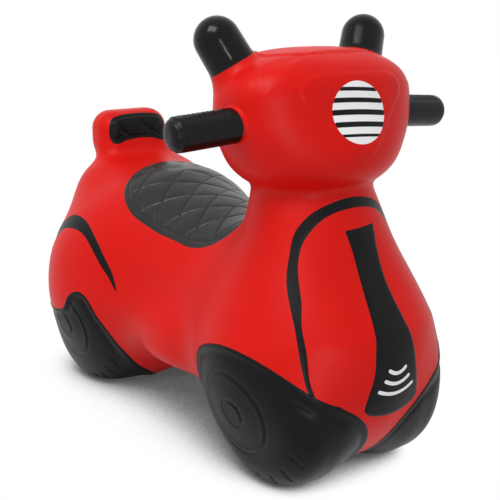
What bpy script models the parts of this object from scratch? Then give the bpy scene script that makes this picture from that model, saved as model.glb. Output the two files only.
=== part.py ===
"""Inflatable hop scooter: a rotation-moulded vinyl bladder in the shape of a motor scooter, to sit and bounce on.

Origin under the middle of the toy on the floor, +Z up, +X the rider's left, -Y the front.
Sizes and places are in millimetres here and become metres when a mesh is made.
"""

import math

import bmesh
import bpy
import numpy as np

MM = 0.001

# Driving dimensions
WALL = 8.0  # vinyl wall, thick enough to carry the inlaid coats
COAT = 2.4  # thickness of an inlaid coat
MARK = 0.9  # thickness of a fine mark let into a coat
GAP = 0.3  # clearance between a coat and its recess
SPINE_Z = 140.0  # height of the line that the trunk's rings are drawn round
FURTHEST = 330.0  # longer than any way from the middle of the toy to its surface
GRIP_SPAN = 364.0  # over the ends of both grips
GRIP_RADIUS = 17.5
HORN_RADIUS = 24.0

# Rounded lobes of the trunk: centre, then half sizes
CHEST = ((0, -157, 108), (115, 115, 106))
BELLY = ((0, -26, 114), (104, 122, 42))
RUMP = ((0, 173, 132), (149, 118, 144))
# Tapered lobes: one end, its radius, the other end, its radius, and how much wider than deep they are
NECK = ((0, -182, 154), 98, (0, -150, 318), 55, 1.13)
BARREL = ((0, -125, 156), 76, (0, 94, 171), 108, 1.0)
# Cross bar under the back rest: half length, height, place along the toy and radius
TAIL_ROOT = (38, 216, 246, 40)
TAIL_REST = ((0, 234, 317), (51, 29, 32), 25)
# Rings of the back rest: heights, where its dome is measured from, and how far out they are looked for
REST_LEVELS, REST_DOME, REST_SEARCH = (240, 266, 285, 305, 324), 300, 66
REST_DRAWN_IN = (290, 40, 14)  # the rings under this height are drawn in, over this height, by this much
# Wheels: half track, place along the toy, radius, half width and edge rounding
FRONT_WHEEL = (64, -187, 84, 40, 35)
REAR_WHEEL = (80, 182, 79, 40, 39)
WHEEL_SINK = 2.0  # how far the tyres are pressed flat on the floor
TRUNK_BLEND, WHEEL_BLEND, TAIL_BLEND, REST_BLEND = 69, 29, 47, 28
# Hollows under the chest and under the rump, between the tyres
ARCHES, ARCH_BLEND = (((0, -160, 0), (31, 105, 22)), ((0, 178, 0), (31, 160, 27))), 10
# Shallow hollow down the middle of the leg shield: centre, reach each way and depth
SHIELD_HOLLOW = ((0, -262, 218), (48, 70, 42), 6.5)

# Head: a soft box over a rounded chin
HEAD = ((0, -156, 391), (110, 65, 54), 2.67)
CHIN = ((0, -156, 338), (88, 75, 43))
CHIN_BLEND = 43

# Handlebar grips and the two horn-shaped mirrors: inner end and outer end of the axis on the +X side
GRIP_AXIS = ((92, -167.5, 377), (GRIP_SPAN / 2 - GRIP_RADIUS, -162, 371.5))
HORN_AXIS = ((72, -140, 404), (97, -123, 454))
GRIP_RIBS = 8
RIB_PITCH = 5.0
RIB_HEIGHT = 1.1
GRIP_COLLAR = 10.0  # smooth cap of a grip, before its rounded end
CAP_GROOVE = 1.2  # width and depth of the groove between the ribs and the cap

# Outlines of the coats, as the points that a smooth curve runs through
SEAT_OUTLINE = (
    (0, -92), (28, -90), (50, -81), (63, -60), (71, -30), (76, 5), (82, 45), (87, 80), (82, 104),
    (66, 125), (36, 140), (0, 145),
)
TAIL_PAD_OUTLINE = ((0, 313), (20, 311), (36, 307), (42, 314), (42, 330), (33, 342), (0, 345))
# Side view of the front wheel's coat: centre and radius of the arc over it, and the upright cut behind it
FRONT_COAT_CENTRE, FRONT_COAT_RADIUS, FRONT_COAT_BACK = (-183, 35), 122, -93
# Front view of the edge between the wheels, from the top of the coat down to the floor
WHEEL_INNER_EDGE = ((61, 110), (40, 95), (23, 75), (14, 53), (11, 32))
REAR_WHEEL_OUTLINE = (
    (132, -12), (126, 2), (103, 25), (88, 58), (89, 88), (99, 113), (111, 136), (127, 141),
    (144, 131), (159, 112), (192, 104), (240, 101), (310, 98), (310, -12),
)
SHIELD_OUTER = ((91, 134), (92, 161), (89, 184), (81, 220), (71, 248), (58, 273), (36, 291), (0, 299.5))
SHIELD_INNER = ((0, 291), (32, 286.5), (54, 267), (68, 241), (78, 208), (84.5, 184), (88.5, 150), (89, 134))
REAR_STRIPE_OUTER = ((67, 151), (78, 176), (105, 206), (142, 226), (182, 225), (214, 204), (240, 168), (249, 142))
REAR_STRIPE_INNER = ((247, 142), (233, 165), (206, 191), (183, 209), (145, 213), (116, 201), (86, 173), (69, 151))
PANEL_OUTLINE = ((18, 272), (14.5, 250), (14, 220), (17.5, 188), (24, 160), (28, 138), (33, 119), (36, 104))
# How far the prisms that cut the coats run, along the axis that they are drawn along
SEAT_UNDER, CHIN_CLEARANCE = 185, 3  # lowest point of the saddle's prism, and its distance from the chin
PANEL_REACH, SHIELD_REACH, LAMP_REACH = (-330, -200), (-330, -165), (-300, -180)
REST_DEPTH = 114  # how far in front of the middle of the back rest its pad's prism starts
BEYOND_SIDE, BEYOND_END, ABOVE_WHEELS, UNDER_FLOOR = 175, 330, 210, 12
FLOOR_BLOCK = (900, -100)  # half diagonal and foot of the block that presses the tyres flat
PANEL_DIP = 15.0  # how far the panel's rounded foot hangs below its corners

OUTLINE_SLACK = 0.4  # points of the saddle's outline that stand out less than this are left out
# Quilting: piped border, then channels that cross in diamonds
PIPING_INSET, CHANNEL_WIDTH = 5.6, 1.6
QUILT_LINES, QUILT_SLOPE = (-89, -53, -18, 18, 54, 92, 137), 0.635  # where they cross the middle, and slope
REST_CHANNEL_TOP, REST_CHANNEL_FALL, REST_CHANNEL_HALF = 334, 21, 33

LAMP_CENTRE = (0, 386)
LAMP_HALF = (33.5, 30)
# Lamp bars: height above the floor and thickness. They slope down towards +X by the lean
LAMP_BARS = ((407.5, 3.6), (397, 4.6), (385.5, 5.2), (374, 5.0), (363.5, 2.8))
LAMP_LEAN = math.radians(3.5)
# Chevrons low on the panel: half width, height of the ends, and how far the middle sags
CHEVRONS = ((24, 120.5, 5.5), (17.3, 130.5, 4.8), (12.5, 140.5, 4.0))
CHEVRON_WIDTH = 3.8

# Hub rings on the wheels' outer faces: place along the toy, height and ring radii
FRONT_HUB = (-177, 83, (14.5, 44))
REAR_HUB = (166, 88, (16.5, 43))
RING_WIDTH = 2.0
TREADS = 5
TREAD_WIDTH = 3.0
TREAD_STEP = math.radians(21)

# Along X: where the prisms of the wheels, the hub rings and the rear stripes start
WHEEL_START, HUB_START, STRIPE_START = 4, 70, 60
TREAD_SPAN = (-16, 46)  # from the middle of the track, across the tyre
TREAD_RISE = (-14, 30)  # from the tyre's radius, outwards
BAR_OVERHANG = 4  # how far the lamp bars' prisms run past the disc
CHAMBER_TOP_FOOT = 312  # foot of the head's part of the air space

# Air plug on the belly
PLUG_Y = -26
STEM_RADIUS, STEM_LENGTH = 4.0, 9.5
FLANGE_RADIUS, FLANGE_THICK = 8.3, 1.6
BOSS_RADIUS, BOSS_DROP, BOSS_ROOT = 12.0, 1.5, 5
TIP_TAPER = (0.8, 1.5)  # how much narrower the stem's tip is, and over what length
HOLE_DEPTH, HOLE_MOUTH, STEP = 16, 3, 0.01

# How finely each form is faceted
TRUNK_RINGS, TRUNK_SIDES = 28, 22
HEAD_RINGS, HEAD_SIDES = 10, 20
REST_DOME_RINGS, REST_SIDES = 3, 14
CHAMBER_RINGS, CHAMBER_SIDES, CHAMBER_TOP_RINGS = 12, 10, 6
HUB_SIDES, LENS_SIDES, ARC_STEPS = 16, 24, 14
GRIP_SIDES, HORN_SIDES, VALVE_SIDES = 14, 18, 16
CAP_TURNS = [math.radians(angle) for angle in (0, 30, 52, 70, 83)]

MOST_SHIFT = 1.25  # how much further than the depth a vertex at a sharp fold may move
SLIVER, FLAT_ENOUGH, CHIP = 0.05, math.radians(0.1), 16  # a loose bit of fewer vertices is a chip

RED = (0.74, 0.035, 0.02, 1)
BLACK = (0.012, 0.012, 0.013, 1)
SEAT_GREY = (0.06, 0.063, 0.06, 1)
WHITE = (0.78, 0.78, 0.78, 1)


# Forms: each gives the signed distance from its surface, negative inside


def blend(first, second, reach):
    """Two forms joined with a soft fillet."""
    share = np.clip(0.5 + 0.5 * (second - first) / reach, 0, 1)
    return second + (first - second) * share - reach * share * (1 - share)


def ellipsoid(p, centre, half):
    unit = (p - centre) / np.array(half, float)
    length = np.linalg.norm(unit, axis=1)
    slope = np.linalg.norm(unit / half, axis=1)
    return length * (length - 1) / np.maximum(slope, 1e-9)


def soft_box(p, centre, half, power):
    unit = np.abs((p - centre) / np.array(half, float))
    return ((unit**power).sum(1) ** (1 / power) - 1) * min(half)


def tapered(p, start, start_radius, end, end_radius, widen=1.0):
    scale = np.array([widen, 1, 1])
    start, end = np.array(start) / scale, np.array(end) / scale
    line = end - start
    along = np.clip(((p / scale - start) @ line) / (line @ line), 0, 1)
    away = np.linalg.norm(p / scale - (start + along[:, None] * line), axis=1)
    return away - (start_radius + (end_radius - start_radius) * along)


def cross_bar(p, half_length, y, z, radius):
    beyond = np.maximum(np.abs(p[:, 0]) - half_length, 0)
    return np.sqrt(beyond**2 + (p[:, 1] - y) ** 2 + (p[:, 2] - z) ** 2) - radius


def rounded_box(p, centre, half, rounding):
    away = np.abs(p - centre) - (np.array(half, float) - rounding)
    return np.linalg.norm(np.maximum(away, 0), axis=1) + np.minimum(away.max(1), 0) - rounding


def wheel(p, track, y, radius, half_width, rounding):
    """The wheels of one axle, as drums with rounded edges."""
    out = np.hypot(p[:, 1] - y, p[:, 2] - (radius - WHEEL_SINK)) - (radius - rounding)
    side = np.abs(np.abs(p[:, 0]) - track) - (half_width - rounding)
    return np.hypot(np.maximum(out, 0), np.maximum(side, 0)) + np.minimum(np.maximum(out, side), 0) - rounding


def hollow(p, centre, reach, depth):
    """How far a shallow hollow moves the surface in."""
    return depth * np.exp(-(((p - centre) / np.array(reach, float)) ** 2).sum(1))


def trunk(p):
    form = blend(ellipsoid(p, *CHEST), tapered(p, *NECK), TRUNK_BLEND) + hollow(p, *SHIELD_HOLLOW)
    form = blend(form, tapered(p, *BARREL), TRUNK_BLEND)
    form = blend(form, ellipsoid(p, *BELLY), WHEEL_BLEND)
    form = blend(form, ellipsoid(p, *RUMP), TRUNK_BLEND)
    form = blend(form, cross_bar(p, *TAIL_ROOT), TAIL_BLEND)
    form = blend(form, wheel(p, *FRONT_WHEEL), WHEEL_BLEND)
    form = blend(form, wheel(p, *REAR_WHEEL), WHEEL_BLEND)
    for arch in ARCHES:
        form = -blend(-form, ellipsoid(p, *arch), ARCH_BLEND)
    return form


def back_rest(p):
    return blend(trunk(p), rounded_box(p, *TAIL_REST), REST_BLEND)


def head(p):
    return blend(soft_box(p, *HEAD), ellipsoid(p, *CHIN), CHIN_BLEND)


# Lofts: closed meshes whose rings lie on a form


def reach_out(form, centres, directions, furthest):
    """How far the form goes from each centre along its direction."""
    steps = np.linspace(0, furthest, 120)
    points = centres[:, None, :] + directions[:, None, :] * steps[None, :, None]
    inside = form(points.reshape(-1, 3)).reshape(len(centres), -1) < 0
    last = inside.shape[1] - 1 - np.argmax(inside[:, ::-1], axis=1)
    last = np.clip(last, 0, len(steps) - 2)
    near, far = steps[last], steps[last + 1]
    for _ in range(16):
        middle = (near + far) / 2
        within = form(centres + directions * middle[:, None]) < 0
        near, far = np.where(within, middle, near), np.where(within, far, middle)
    return (near + far) / 2


def extent(form, start, way, furthest):
    """Where a line from a point inside the form leaves it."""
    start, way = np.array([start], float), np.array([way], float)
    return start[0] + way[0] * reach_out(form, start, way, furthest)[0]


def ring_mesh(name, rings, start, end):
    """A closed mesh from rings of points, with a fan at each end."""
    count, sides = rings.shape[:2]
    points = np.vstack([rings.reshape(-1, 3), start, end])
    faces = []
    for ring in range(count - 1):
        for side in range(sides):
            a, b = ring * sides + side, ring * sides + (side + 1) % sides
            faces.append((a, b, b + sides, a + sides))
    first, last = count * sides, count * sides + 1
    for side in range(sides):
        after = (side + 1) % sides
        faces.append((first, after, side))
        faces.append((last, (count - 1) * sides + side, (count - 1) * sides + after))
    return mesh_object(name, points, faces)


def loft_along_y(name, form, ring_count, sides):
    """Rings across the toy, closer together where its top or underside is steep."""
    middle = (0, 0, SPINE_Z)
    front, back = extent(form, middle, (0, -1, 0), FURTHEST), extent(form, middle, (0, 1, 0), FURTHEST)
    fine = np.linspace(front[1] + 0.1, back[1] - 0.1, 300)
    centres = np.stack([0 * fine, fine, 0 * fine + SPINE_Z], 1)
    profiles = []
    for angle in (0, math.pi / 2, 0.8 * math.pi):
        way = np.tile([math.sin(angle), 0, math.cos(angle)], (len(fine), 1))
        profiles.append(reach_out(form, centres, way, FURTHEST))
    climb = np.max([np.abs(np.diff(profile)) for profile in profiles], axis=0)
    travel = np.concatenate([[0], np.cumsum(np.hypot(np.diff(fine), climb))])
    places = np.interp(np.linspace(0, travel[-1], ring_count + 2)[1:-1], travel, fine)
    angles = np.linspace(0, 2 * math.pi, sides, endpoint=False)
    place, angle = [grid.ravel() for grid in np.meshgrid(places, angles, indexing="ij")]
    centres = np.stack([0 * place, place, 0 * place + SPINE_Z], 1)
    way = np.stack([np.sin(angle), 0 * angle, np.cos(angle)], 1)
    rings = centres + way * reach_out(form, centres, way, FURTHEST)[:, None]
    return ring_mesh(name, rings.reshape(ring_count, sides, 3), front, back)


def loft_along_z(name, form, axis_y, heights, sides, furthest=FURTHEST, inset=None):
    """Rings at the given heights round an upright axis. An inset draws each ring in."""
    angles = np.linspace(0, 2 * math.pi, sides, endpoint=False)
    height, angle = [grid.ravel() for grid in np.meshgrid(heights, angles, indexing="ij")]
    centres = np.stack([0 * height, 0 * height + axis_y, height], 1)
    way = np.stack([np.sin(angle), -np.cos(angle), 0 * angle], 1)
    radius = reach_out(form, centres, way, furthest)
    if inset is not None:
        radius = radius - np.repeat(inset, sides)
    rings = centres + way * radius[:, None]
    bottom, top = (0, axis_y, heights[0]), (0, axis_y, heights[-1])
    return ring_mesh(name, rings.reshape(len(heights), sides, 3), bottom, top)


def dome_heights(low, high, count):
    """Heights that crowd together towards both ends of a rounded form."""
    turn = np.linspace(0, math.pi, count + 2)[1:-1]
    return (low + high) / 2 - (high - low) / 2 * np.cos(turn)


# Mesh tools


def mesh_object(name, points, faces):
    mesh = bpy.data.meshes.new(name)
    mesh.from_pydata([tuple(point) for point in np.asarray(points) * MM], [], faces)
    mesh.update()
    made = bpy.data.objects.new(name, mesh)
    bpy.context.scene.collection.objects.link(made)
    shell = bmesh.new()
    shell.from_mesh(mesh)
    bmesh.ops.triangulate(shell, faces=shell.faces)
    bmesh.ops.recalc_face_normals(shell, faces=shell.faces)
    shell.to_mesh(mesh)
    shell.free()
    return made


def copy_of(source, name="tool"):
    twin = bpy.data.objects.new(name, source.data.copy())
    bpy.context.scene.collection.objects.link(twin)
    return twin


def remove(*objects):
    for each in objects:
        bpy.data.objects.remove(each, do_unlink=True)


def closed(mesh):
    shell = bmesh.new()
    shell.from_mesh(mesh)
    whole = len(shell.faces) > 0 and all(edge.is_manifold for edge in shell.edges)
    shell.free()
    return whole


def combine(target, tool, operation, keep=False, solvers=("EXACT", "MANIFOLD")):
    """Cuts, joins or intersects the target with the tool, which is then removed unless kept."""
    step = target.modifiers.new("step", "BOOLEAN")
    step.operation = operation
    step.object = tool
    for solver in solvers:
        step.solver = solver
        bpy.context.view_layer.update()
        graph = bpy.context.evaluated_depsgraph_get()
        made = bpy.data.meshes.new_from_object(target.evaluated_get(graph))
        if closed(made):
            break
    target.modifiers.clear()
    target.data = made
    if not keep:
        remove(tool)
    return target


def sunk(source, depth):
    """The source with its whole surface moved inwards by the depth."""
    twin = copy_of(source)
    shell = bmesh.new()
    shell.from_mesh(twin.data)
    shell.normal_update()
    for vertex in shell.verts:
        vertex.co -= vertex.normal * min(vertex.calc_shell_factor(), MOST_SHIFT) * depth * MM
    shell.to_mesh(twin.data)
    shell.free()
    return twin


def beyond(end, neighbour):
    """The point that a curve comes from beyond its end: the mirrored neighbour on the middle line."""
    return neighbour * (-1, 1) if end[0] == 0 else 2 * end - neighbour


def smooth_curve(points, steps=4):
    """A curve through the points, with the given number of steps between one and the next."""
    points = np.array(points, float)
    ends = np.vstack([beyond(points[0], points[1]), points, beyond(points[-1], points[-2])])
    curve = []
    for index in range(1, len(ends) - 2):
        before, start, end, after = ends[index - 1 : index + 3]
        for t in np.arange(steps) / steps:
            curve.append(
                0.5
                * (
                    2 * start
                    + (end - before) * t
                    + (2 * before - 5 * start + 4 * end - after) * t**2
                    + (3 * start - before - 3 * end + after) * t**3
                )
            )
    curve.append(points[-1])
    return np.array(curve)


def mirrored(half):
    """A half outline from the middle line to the middle line, completed on the other side."""
    half = np.asarray(half)
    other = half[::-1] * (-1, 1)
    return np.vstack([half, other[1:-1] if abs(half[0][0]) < 1e-6 else other[1:]])


def drawn_in(outline, amount):
    """The outline moved inwards by an even amount."""
    outline = np.asarray(outline, float)
    area = np.sum(outline[:, 0] * np.roll(outline[:, 1], -1) - outline[:, 1] * np.roll(outline[:, 0], -1))
    before, after = outline - np.roll(outline, 1, 0), np.roll(outline, -1, 0) - outline
    before /= np.linalg.norm(before, axis=1)[:, None]
    after /= np.linalg.norm(after, axis=1)[:, None]
    normals = np.stack([-(before + after)[:, 1], (before + after)[:, 0]], 1) * np.sign(area)
    normals /= np.maximum(np.linalg.norm(normals, axis=1), 1e-9)[:, None]
    return outline + normals * amount


def thinned(outline, slack):
    """The outline without the points that lie within the slack of the straight line past them."""
    kept = [outline[0]]
    for here, after in zip(outline[1:], np.roll(outline, -1, 0)[1:]):
        way = (after - kept[-1]) / np.linalg.norm(after - kept[-1])
        aside = here - kept[-1]
        if abs(way[0] * aside[1] - way[1] * aside[0]) > slack:
            kept.append(here)
    return np.array(kept)


# Which two axes an outline is drawn on, and which one its prism runs along
VIEWS = {"top": "xyz", "front": "xzy", "side": "yzx"}


def prism(outline, view, low, high):
    first, second, along = ["xyz".index(axis) for axis in VIEWS[view]]
    count = len(outline)
    points = np.zeros((2 * count, 3))
    for level, offset in ((low, 0), (high, count)):
        points[offset : offset + count, first] = outline[:, 0]
        points[offset : offset + count, second] = outline[:, 1]
        points[offset : offset + count, along] = level
    faces = [tuple(range(count)), tuple(range(2 * count - 1, count - 1, -1))]
    for index in range(count):
        after = (index + 1) % count
        faces.append((index, after, after + count, index + count))
    return mesh_object("tool", points, faces)


def circle(centre, radius, count=32, stretch=1.0):
    turn = np.linspace(0, 2 * math.pi, count, endpoint=False)
    return np.stack([centre[0] + radius * np.cos(turn), centre[1] + radius * stretch * np.sin(turn)], 1)


def stroke(half_width, end_height, sag, width, steps=5):
    """Outline of a smile-shaped line with round ends."""
    across = np.linspace(-half_width + width / 2, half_width - width / 2, steps)
    middle = end_height - sag * (1 - (across / across[-1]) ** 2)
    slope = np.gradient(middle, across)
    side = np.stack([-slope, np.ones(steps)], 1) / np.hypot(slope, 1)[:, None] * width / 2
    line = np.stack([across, middle], 1)
    cap = []
    for centre, start in ((line[-1], side[-1]), (line[0], -side[0])):
        turn = math.atan2(start[1], start[0]) - np.linspace(0, math.pi, 4)[1:-1]
        cap.append(centre + np.stack([np.cos(turn), np.sin(turn)], 1) * width / 2)
    return np.vstack([line + side, cap[0], (line - side)[::-1], cap[1]])


def turned(name, profile, base, way, sides=16):
    """A closed solid turned round an axis: each profile point is a distance along it, a radius and, where
    there is a third number, how much further the upper side of the ring stands out."""
    way = np.array(way, float) / np.linalg.norm(way)
    across = np.cross(way, (0, 0, 1.0) if abs(way[2]) < 0.9 else (0, 1.0, 0))
    across /= np.linalg.norm(across)
    other = np.cross(way, across)
    rings = []
    for along, radius, *lift in profile:
        for turn in np.linspace(0, 2 * math.pi, sides, endpoint=False):
            out = across * math.cos(turn) + other * math.sin(turn)
            reach = radius + (lift[0] if lift and out[2] > 0.7 else 0)
            rings.append(np.array(base) + way * along + reach * out)
    rings = np.array(rings).reshape(len(profile), sides, 3)
    ends = [np.array(base) + way * profile[index][0] for index in (0, -1)]
    return ring_mesh(name, rings, *ends)


def round_end(at, radius, count=4):
    """Profile points of a domed end that starts at a distance along the axis."""
    turn = np.linspace(0, math.pi / 2, count + 1)[:-1]
    return [(at + radius * math.sin(t), radius * math.cos(t)) for t in turn] + [(at + radius * 0.995, radius * 0.08)]


# The whole toy as one closed form, at any depth under its surface


def pressed_flat(form, height):
    """The form cut off level at the height, as its weight on the floor flattens it."""
    return combine(form, prism(circle((0, 0), FLOOR_BLOCK[0], 4), "top", FLOOR_BLOCK[1], height), "DIFFERENCE")


def toy_form(depth, body, rest, top):
    parts = [sunk(each, depth) for each in (body, rest, top)]
    whole = combine(parts[0], parts[1], "UNION")
    whole = combine(whole, parts[2], "UNION")
    return pressed_flat(whole, depth)


def make_forms():
    body = loft_along_y("trunk", trunk, TRUNK_RINGS, TRUNK_SIDES)
    high = extent(back_rest, (0, TAIL_REST[0][1], REST_DOME), (0, 0, 1), FURTHEST)[2]
    dome = dome_heights(REST_DOME, high, 3 * REST_DOME_RINGS)[-REST_DOME_RINGS:]
    heights = np.concatenate([REST_LEVELS, dome])
    below, over, most = REST_DRAWN_IN
    sink = most * np.clip((below - heights) / over, 0, 1)
    rest = loft_along_z("rest", back_rest, TAIL_REST[0][1], heights, REST_SIDES, REST_SEARCH, sink)
    low, high = [extent(head, HEAD[0], (0, 0, way), FURTHEST)[2] for way in (-1, 1)]
    top = loft_along_z("head", head, HEAD[0][1], dome_heights(low, high, HEAD_RINGS), HEAD_SIDES)
    forms = {depth: toy_form(depth, body, rest, top) for depth in (0, MARK, MARK + GAP, COAT, COAT + GAP)}
    remove(body, rest, top)
    return forms


def make_chamber():
    """The air space inside the wall."""
    body = loft_along_y("chamber", lambda p: trunk(p) + WALL, CHAMBER_RINGS, CHAMBER_SIDES)
    heights = dome_heights(CHAMBER_TOP_FOOT, HEAD[0][2] + HEAD[1][2] - WALL, CHAMBER_TOP_RINGS)
    top = loft_along_z("top", lambda p: head(p) + WALL, HEAD[0][1], heights, CHAMBER_SIDES)
    return pressed_flat(combine(body, top, "UNION"), WALL)


# Coats and their recesses


def inlay(name, forms, tool, thickness, tight_tool):
    """A coat flush with the surface, and the cutter for its recess."""
    coat = copy_of(forms[0], name)
    combine(coat, tight_tool, "INTERSECT")
    combine(coat, forms[thickness], "DIFFERENCE", keep=True)
    combine(tool, forms[thickness + GAP], "DIFFERENCE", keep=True)
    return coat, tool


def outline_inlay(name, forms, outline, view, low, high, thickness=COAT):
    full = prism(outline, view, low, high)
    tight = prism(drawn_in(outline, GAP), view, low, high)
    return inlay(name, forms, full, thickness, tight)


def front_wheel_outline(slack):
    """Side view of the front wheel's coat: a large arc over the wheel, cut off upright behind it."""
    centre_y, centre_z = FRONT_COAT_CENTRE
    radius, back = FRONT_COAT_RADIUS - slack, FRONT_COAT_BACK - slack
    start = math.acos((back - centre_y) / radius)
    end = math.pi + math.asin((centre_z + UNDER_FLOOR) / radius)
    turn = np.linspace(start, end, ARC_STEPS)
    arc = np.stack([centre_y + radius * np.cos(turn), centre_z + radius * np.sin(turn)], 1)
    return np.vstack([[(back, -UNDER_FLOOR)], arc])


def wheel_tool(side, front, slack):
    """The part of space that one wheel's black coat takes up."""
    outline = front_wheel_outline(slack) if front else drawn_in(smooth_curve(REAR_WHEEL_OUTLINE, 2), slack)
    near, far = sorted((side * WHEEL_START, side * BEYOND_SIDE))
    tool = prism(outline, "side", near, far)
    edge = smooth_curve(WHEEL_INNER_EDGE, 2) + (slack, -slack)
    wide = BEYOND_SIDE + 1
    top, foot = ABOVE_WHEELS, -UNDER_FLOOR - 2
    section = np.vstack([[(wide, top), (edge[0][0], top)], edge, [(edge[-1][0], foot), (wide, foot)]])
    return combine(tool, prism(section * (side, 1), "front", -BEYOND_END, BEYOND_END), "INTERSECT")


def wheel_grooves(side, front):
    """Cutters for the two hub rings and for the tread bars under the rim."""
    hub_y, hub_z, radii = FRONT_HUB if front else REAR_HUB
    near, far = sorted((side * HUB_START, side * BEYOND_SIDE))
    grooves = []
    for radius in radii:
        ring = prism(circle((hub_y, hub_z), radius + RING_WIDTH / 2, HUB_SIDES), "side", near, far)
        bore = prism(circle((hub_y, hub_z), radius - RING_WIDTH / 2, HUB_SIDES), "side", near - 1, far + 1)
        grooves.append(combine(ring, bore, "DIFFERENCE"))
    drum = FRONT_WHEEL if front else REAR_WHEEL
    axle = np.array([drum[1], drum[2]])
    near, far = sorted(side * (drum[0] + reach) for reach in TREAD_SPAN)
    for index in range(TREADS):
        lean = (index - (TREADS - 1) / 2) * TREAD_STEP
        way = np.array([math.sin(lean), -math.cos(lean)])
        across = np.array([-way[1], way[0]]) * TREAD_WIDTH / 2
        start, end = [axle + way * (drum[2] + rise) for rise in TREAD_RISE]
        bar = np.array([start - across, end - across, end + across, start + across])
        grooves.append(prism(bar, "side", near, far))
    return grooves


def make_wheel(name, forms, side, front):
    coat, recess = inlay(name, forms, wheel_tool(side, front, 0), COAT, wheel_tool(side, front, GAP))
    for groove in wheel_grooves(side, front):
        combine(groove, forms[MARK], "DIFFERENCE", keep=True)
        combine(coat, groove, "DIFFERENCE")
    return coat, recess


def make_lamp(forms):
    """The white disc with the recesses for its bars, the bars, and the disc's own recess."""
    stretch = LAMP_HALF[1] / LAMP_HALF[0]
    outline = circle(LAMP_CENTRE, LAMP_HALF[0], LENS_SIDES, stretch)
    disc, recess = outline_inlay("headlamp_disc", forms, outline, "front", *LAMP_REACH)
    bars = []
    for number, (height, thickness) in enumerate(LAMP_BARS, 1):
        half = LAMP_HALF[0] + BAR_OVERHANG
        strip = np.array([(-half, -0.5), (half, -0.5), (half, 0.5), (-half, 0.5)]) * (1, thickness)
        strip = strip + np.stack([0 * strip[:, 0], height - math.tan(LAMP_LEAN) * strip[:, 0]], 1)
        tight = prism(drawn_in(strip, GAP), "front", *LAMP_REACH)
        lens = circle(LAMP_CENTRE, LAMP_HALF[0] - GAP, LENS_SIDES, stretch)
        combine(tight, prism(lens, "front", LAMP_REACH[0] - 5, LAMP_REACH[1] + 5), "INTERSECT")
        bar, slot = inlay(f"headlamp_bar_{number}", forms, prism(strip, "front", *LAMP_REACH), MARK, tight)
        combine(disc, slot, "DIFFERENCE", solvers=("MANIFOLD",))
        bars.append(bar)
    return disc, bars, recess


def make_panel(forms):
    """The black front panel with its chevrons, and its recess."""
    side = smooth_curve(PANEL_OUTLINE, 2)
    foot = PANEL_OUTLINE[-1]
    turn = np.linspace(0, math.pi, 9)[1:-1]
    dip = np.stack([foot[0] * np.cos(turn), foot[1] - PANEL_DIP * np.sin(turn)], 1)
    outline = np.vstack([side, dip, side[::-1] * (-1, 1)])
    panel, recess = outline_inlay("front_panel", forms, outline, "front", *PANEL_REACH)
    chevrons = []
    for number, (half_width, height, sag) in enumerate(CHEVRONS, 1):
        mark = stroke(half_width, height, sag, CHEVRON_WIDTH)
        chevron, slot = outline_inlay(f"panel_chevron_{number}", forms, mark, "front", *PANEL_REACH, MARK)
        combine(panel, slot, "DIFFERENCE")
        chevrons.append(chevron)
    return panel, chevrons, recess


def make_shield_stripe(forms):
    """The hoop round the leg shield: up one side, over the neck and down the other."""
    outer, inner = smooth_curve(SHIELD_OUTER, 2), smooth_curve(SHIELD_INNER, 2)
    other_outer, other_inner = outer[::-1] * (-1, 1), inner[::-1] * (-1, 1)
    outline = np.vstack([outer, other_outer[1:], other_inner, inner[1:]])
    return outline_inlay("shield_stripe", forms, outline, "front", *SHIELD_REACH)


def make_rear_stripe(name, forms, side):
    outline = np.vstack([smooth_curve(REAR_STRIPE_OUTER, 2), smooth_curve(REAR_STRIPE_INNER, 2)])
    near, far = sorted((side * STRIPE_START, side * BEYOND_SIDE))
    return outline_inlay(name, forms, outline, "side", near, far)


def channel(start, end):
    """Outline of one straight channel."""
    start, end = np.array(start, float), np.array(end, float)
    way = (end - start) / np.linalg.norm(end - start)
    side = np.array([-way[1], way[0]]) * CHANNEL_WIDTH / 2
    return np.array([start - side, end - side, end + side, start + side])


def quilt_cutter(low, high):
    """The saddle's piping groove and the diamonds inside it."""
    outline = thinned(mirrored(SEAT_OUTLINE), OUTLINE_SLACK)
    edges = [drawn_in(outline, PIPING_INSET + share * CHANNEL_WIDTH) for share in (0, 0.5, 1)]
    half = outline[:, 0].max()
    lattice = None
    for number, middle in enumerate(QUILT_LINES):
        for lean in (-QUILT_SLOPE, QUILT_SLOPE):
            strip = channel((-half, middle - half * lean), (half, middle + half * lean))
            step = 1 + number + (lean > 0) / 2  # keeps the ends of crossing bars off each other's plane
            bar = prism(strip, "top", low - step, high + step)
            lattice = combine(lattice, bar, "UNION") if lattice else bar
    combine(lattice, prism(edges[1], "top", low, high), "INTERSECT")
    ring = combine(
        prism(edges[0], "top", low - 1, high - 1), prism(edges[2], "top", low - 2, high), "DIFFERENCE"
    )
    return combine(lattice, ring, "UNION")


def quilted(pad, forms, cutter):
    """The pad with the cutter's channels let into its face."""
    combine(cutter, forms[MARK + GAP], "DIFFERENCE", keep=True)
    return combine(pad, cutter, "DIFFERENCE")


def make_seat(forms):
    """The quilted saddle, which ends under the chin."""
    outline = thinned(mirrored(smooth_curve(SEAT_OUTLINE, 2)), OUTLINE_SLACK)
    high = CHIN[0][2] - CHIN[1][2] - CHIN_CLEARANCE
    pad, recess = outline_inlay("seat_pad", forms, outline, "top", SEAT_UNDER, high)
    return quilted(pad, forms, quilt_cutter(SEAT_UNDER, high)), recess


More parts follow.
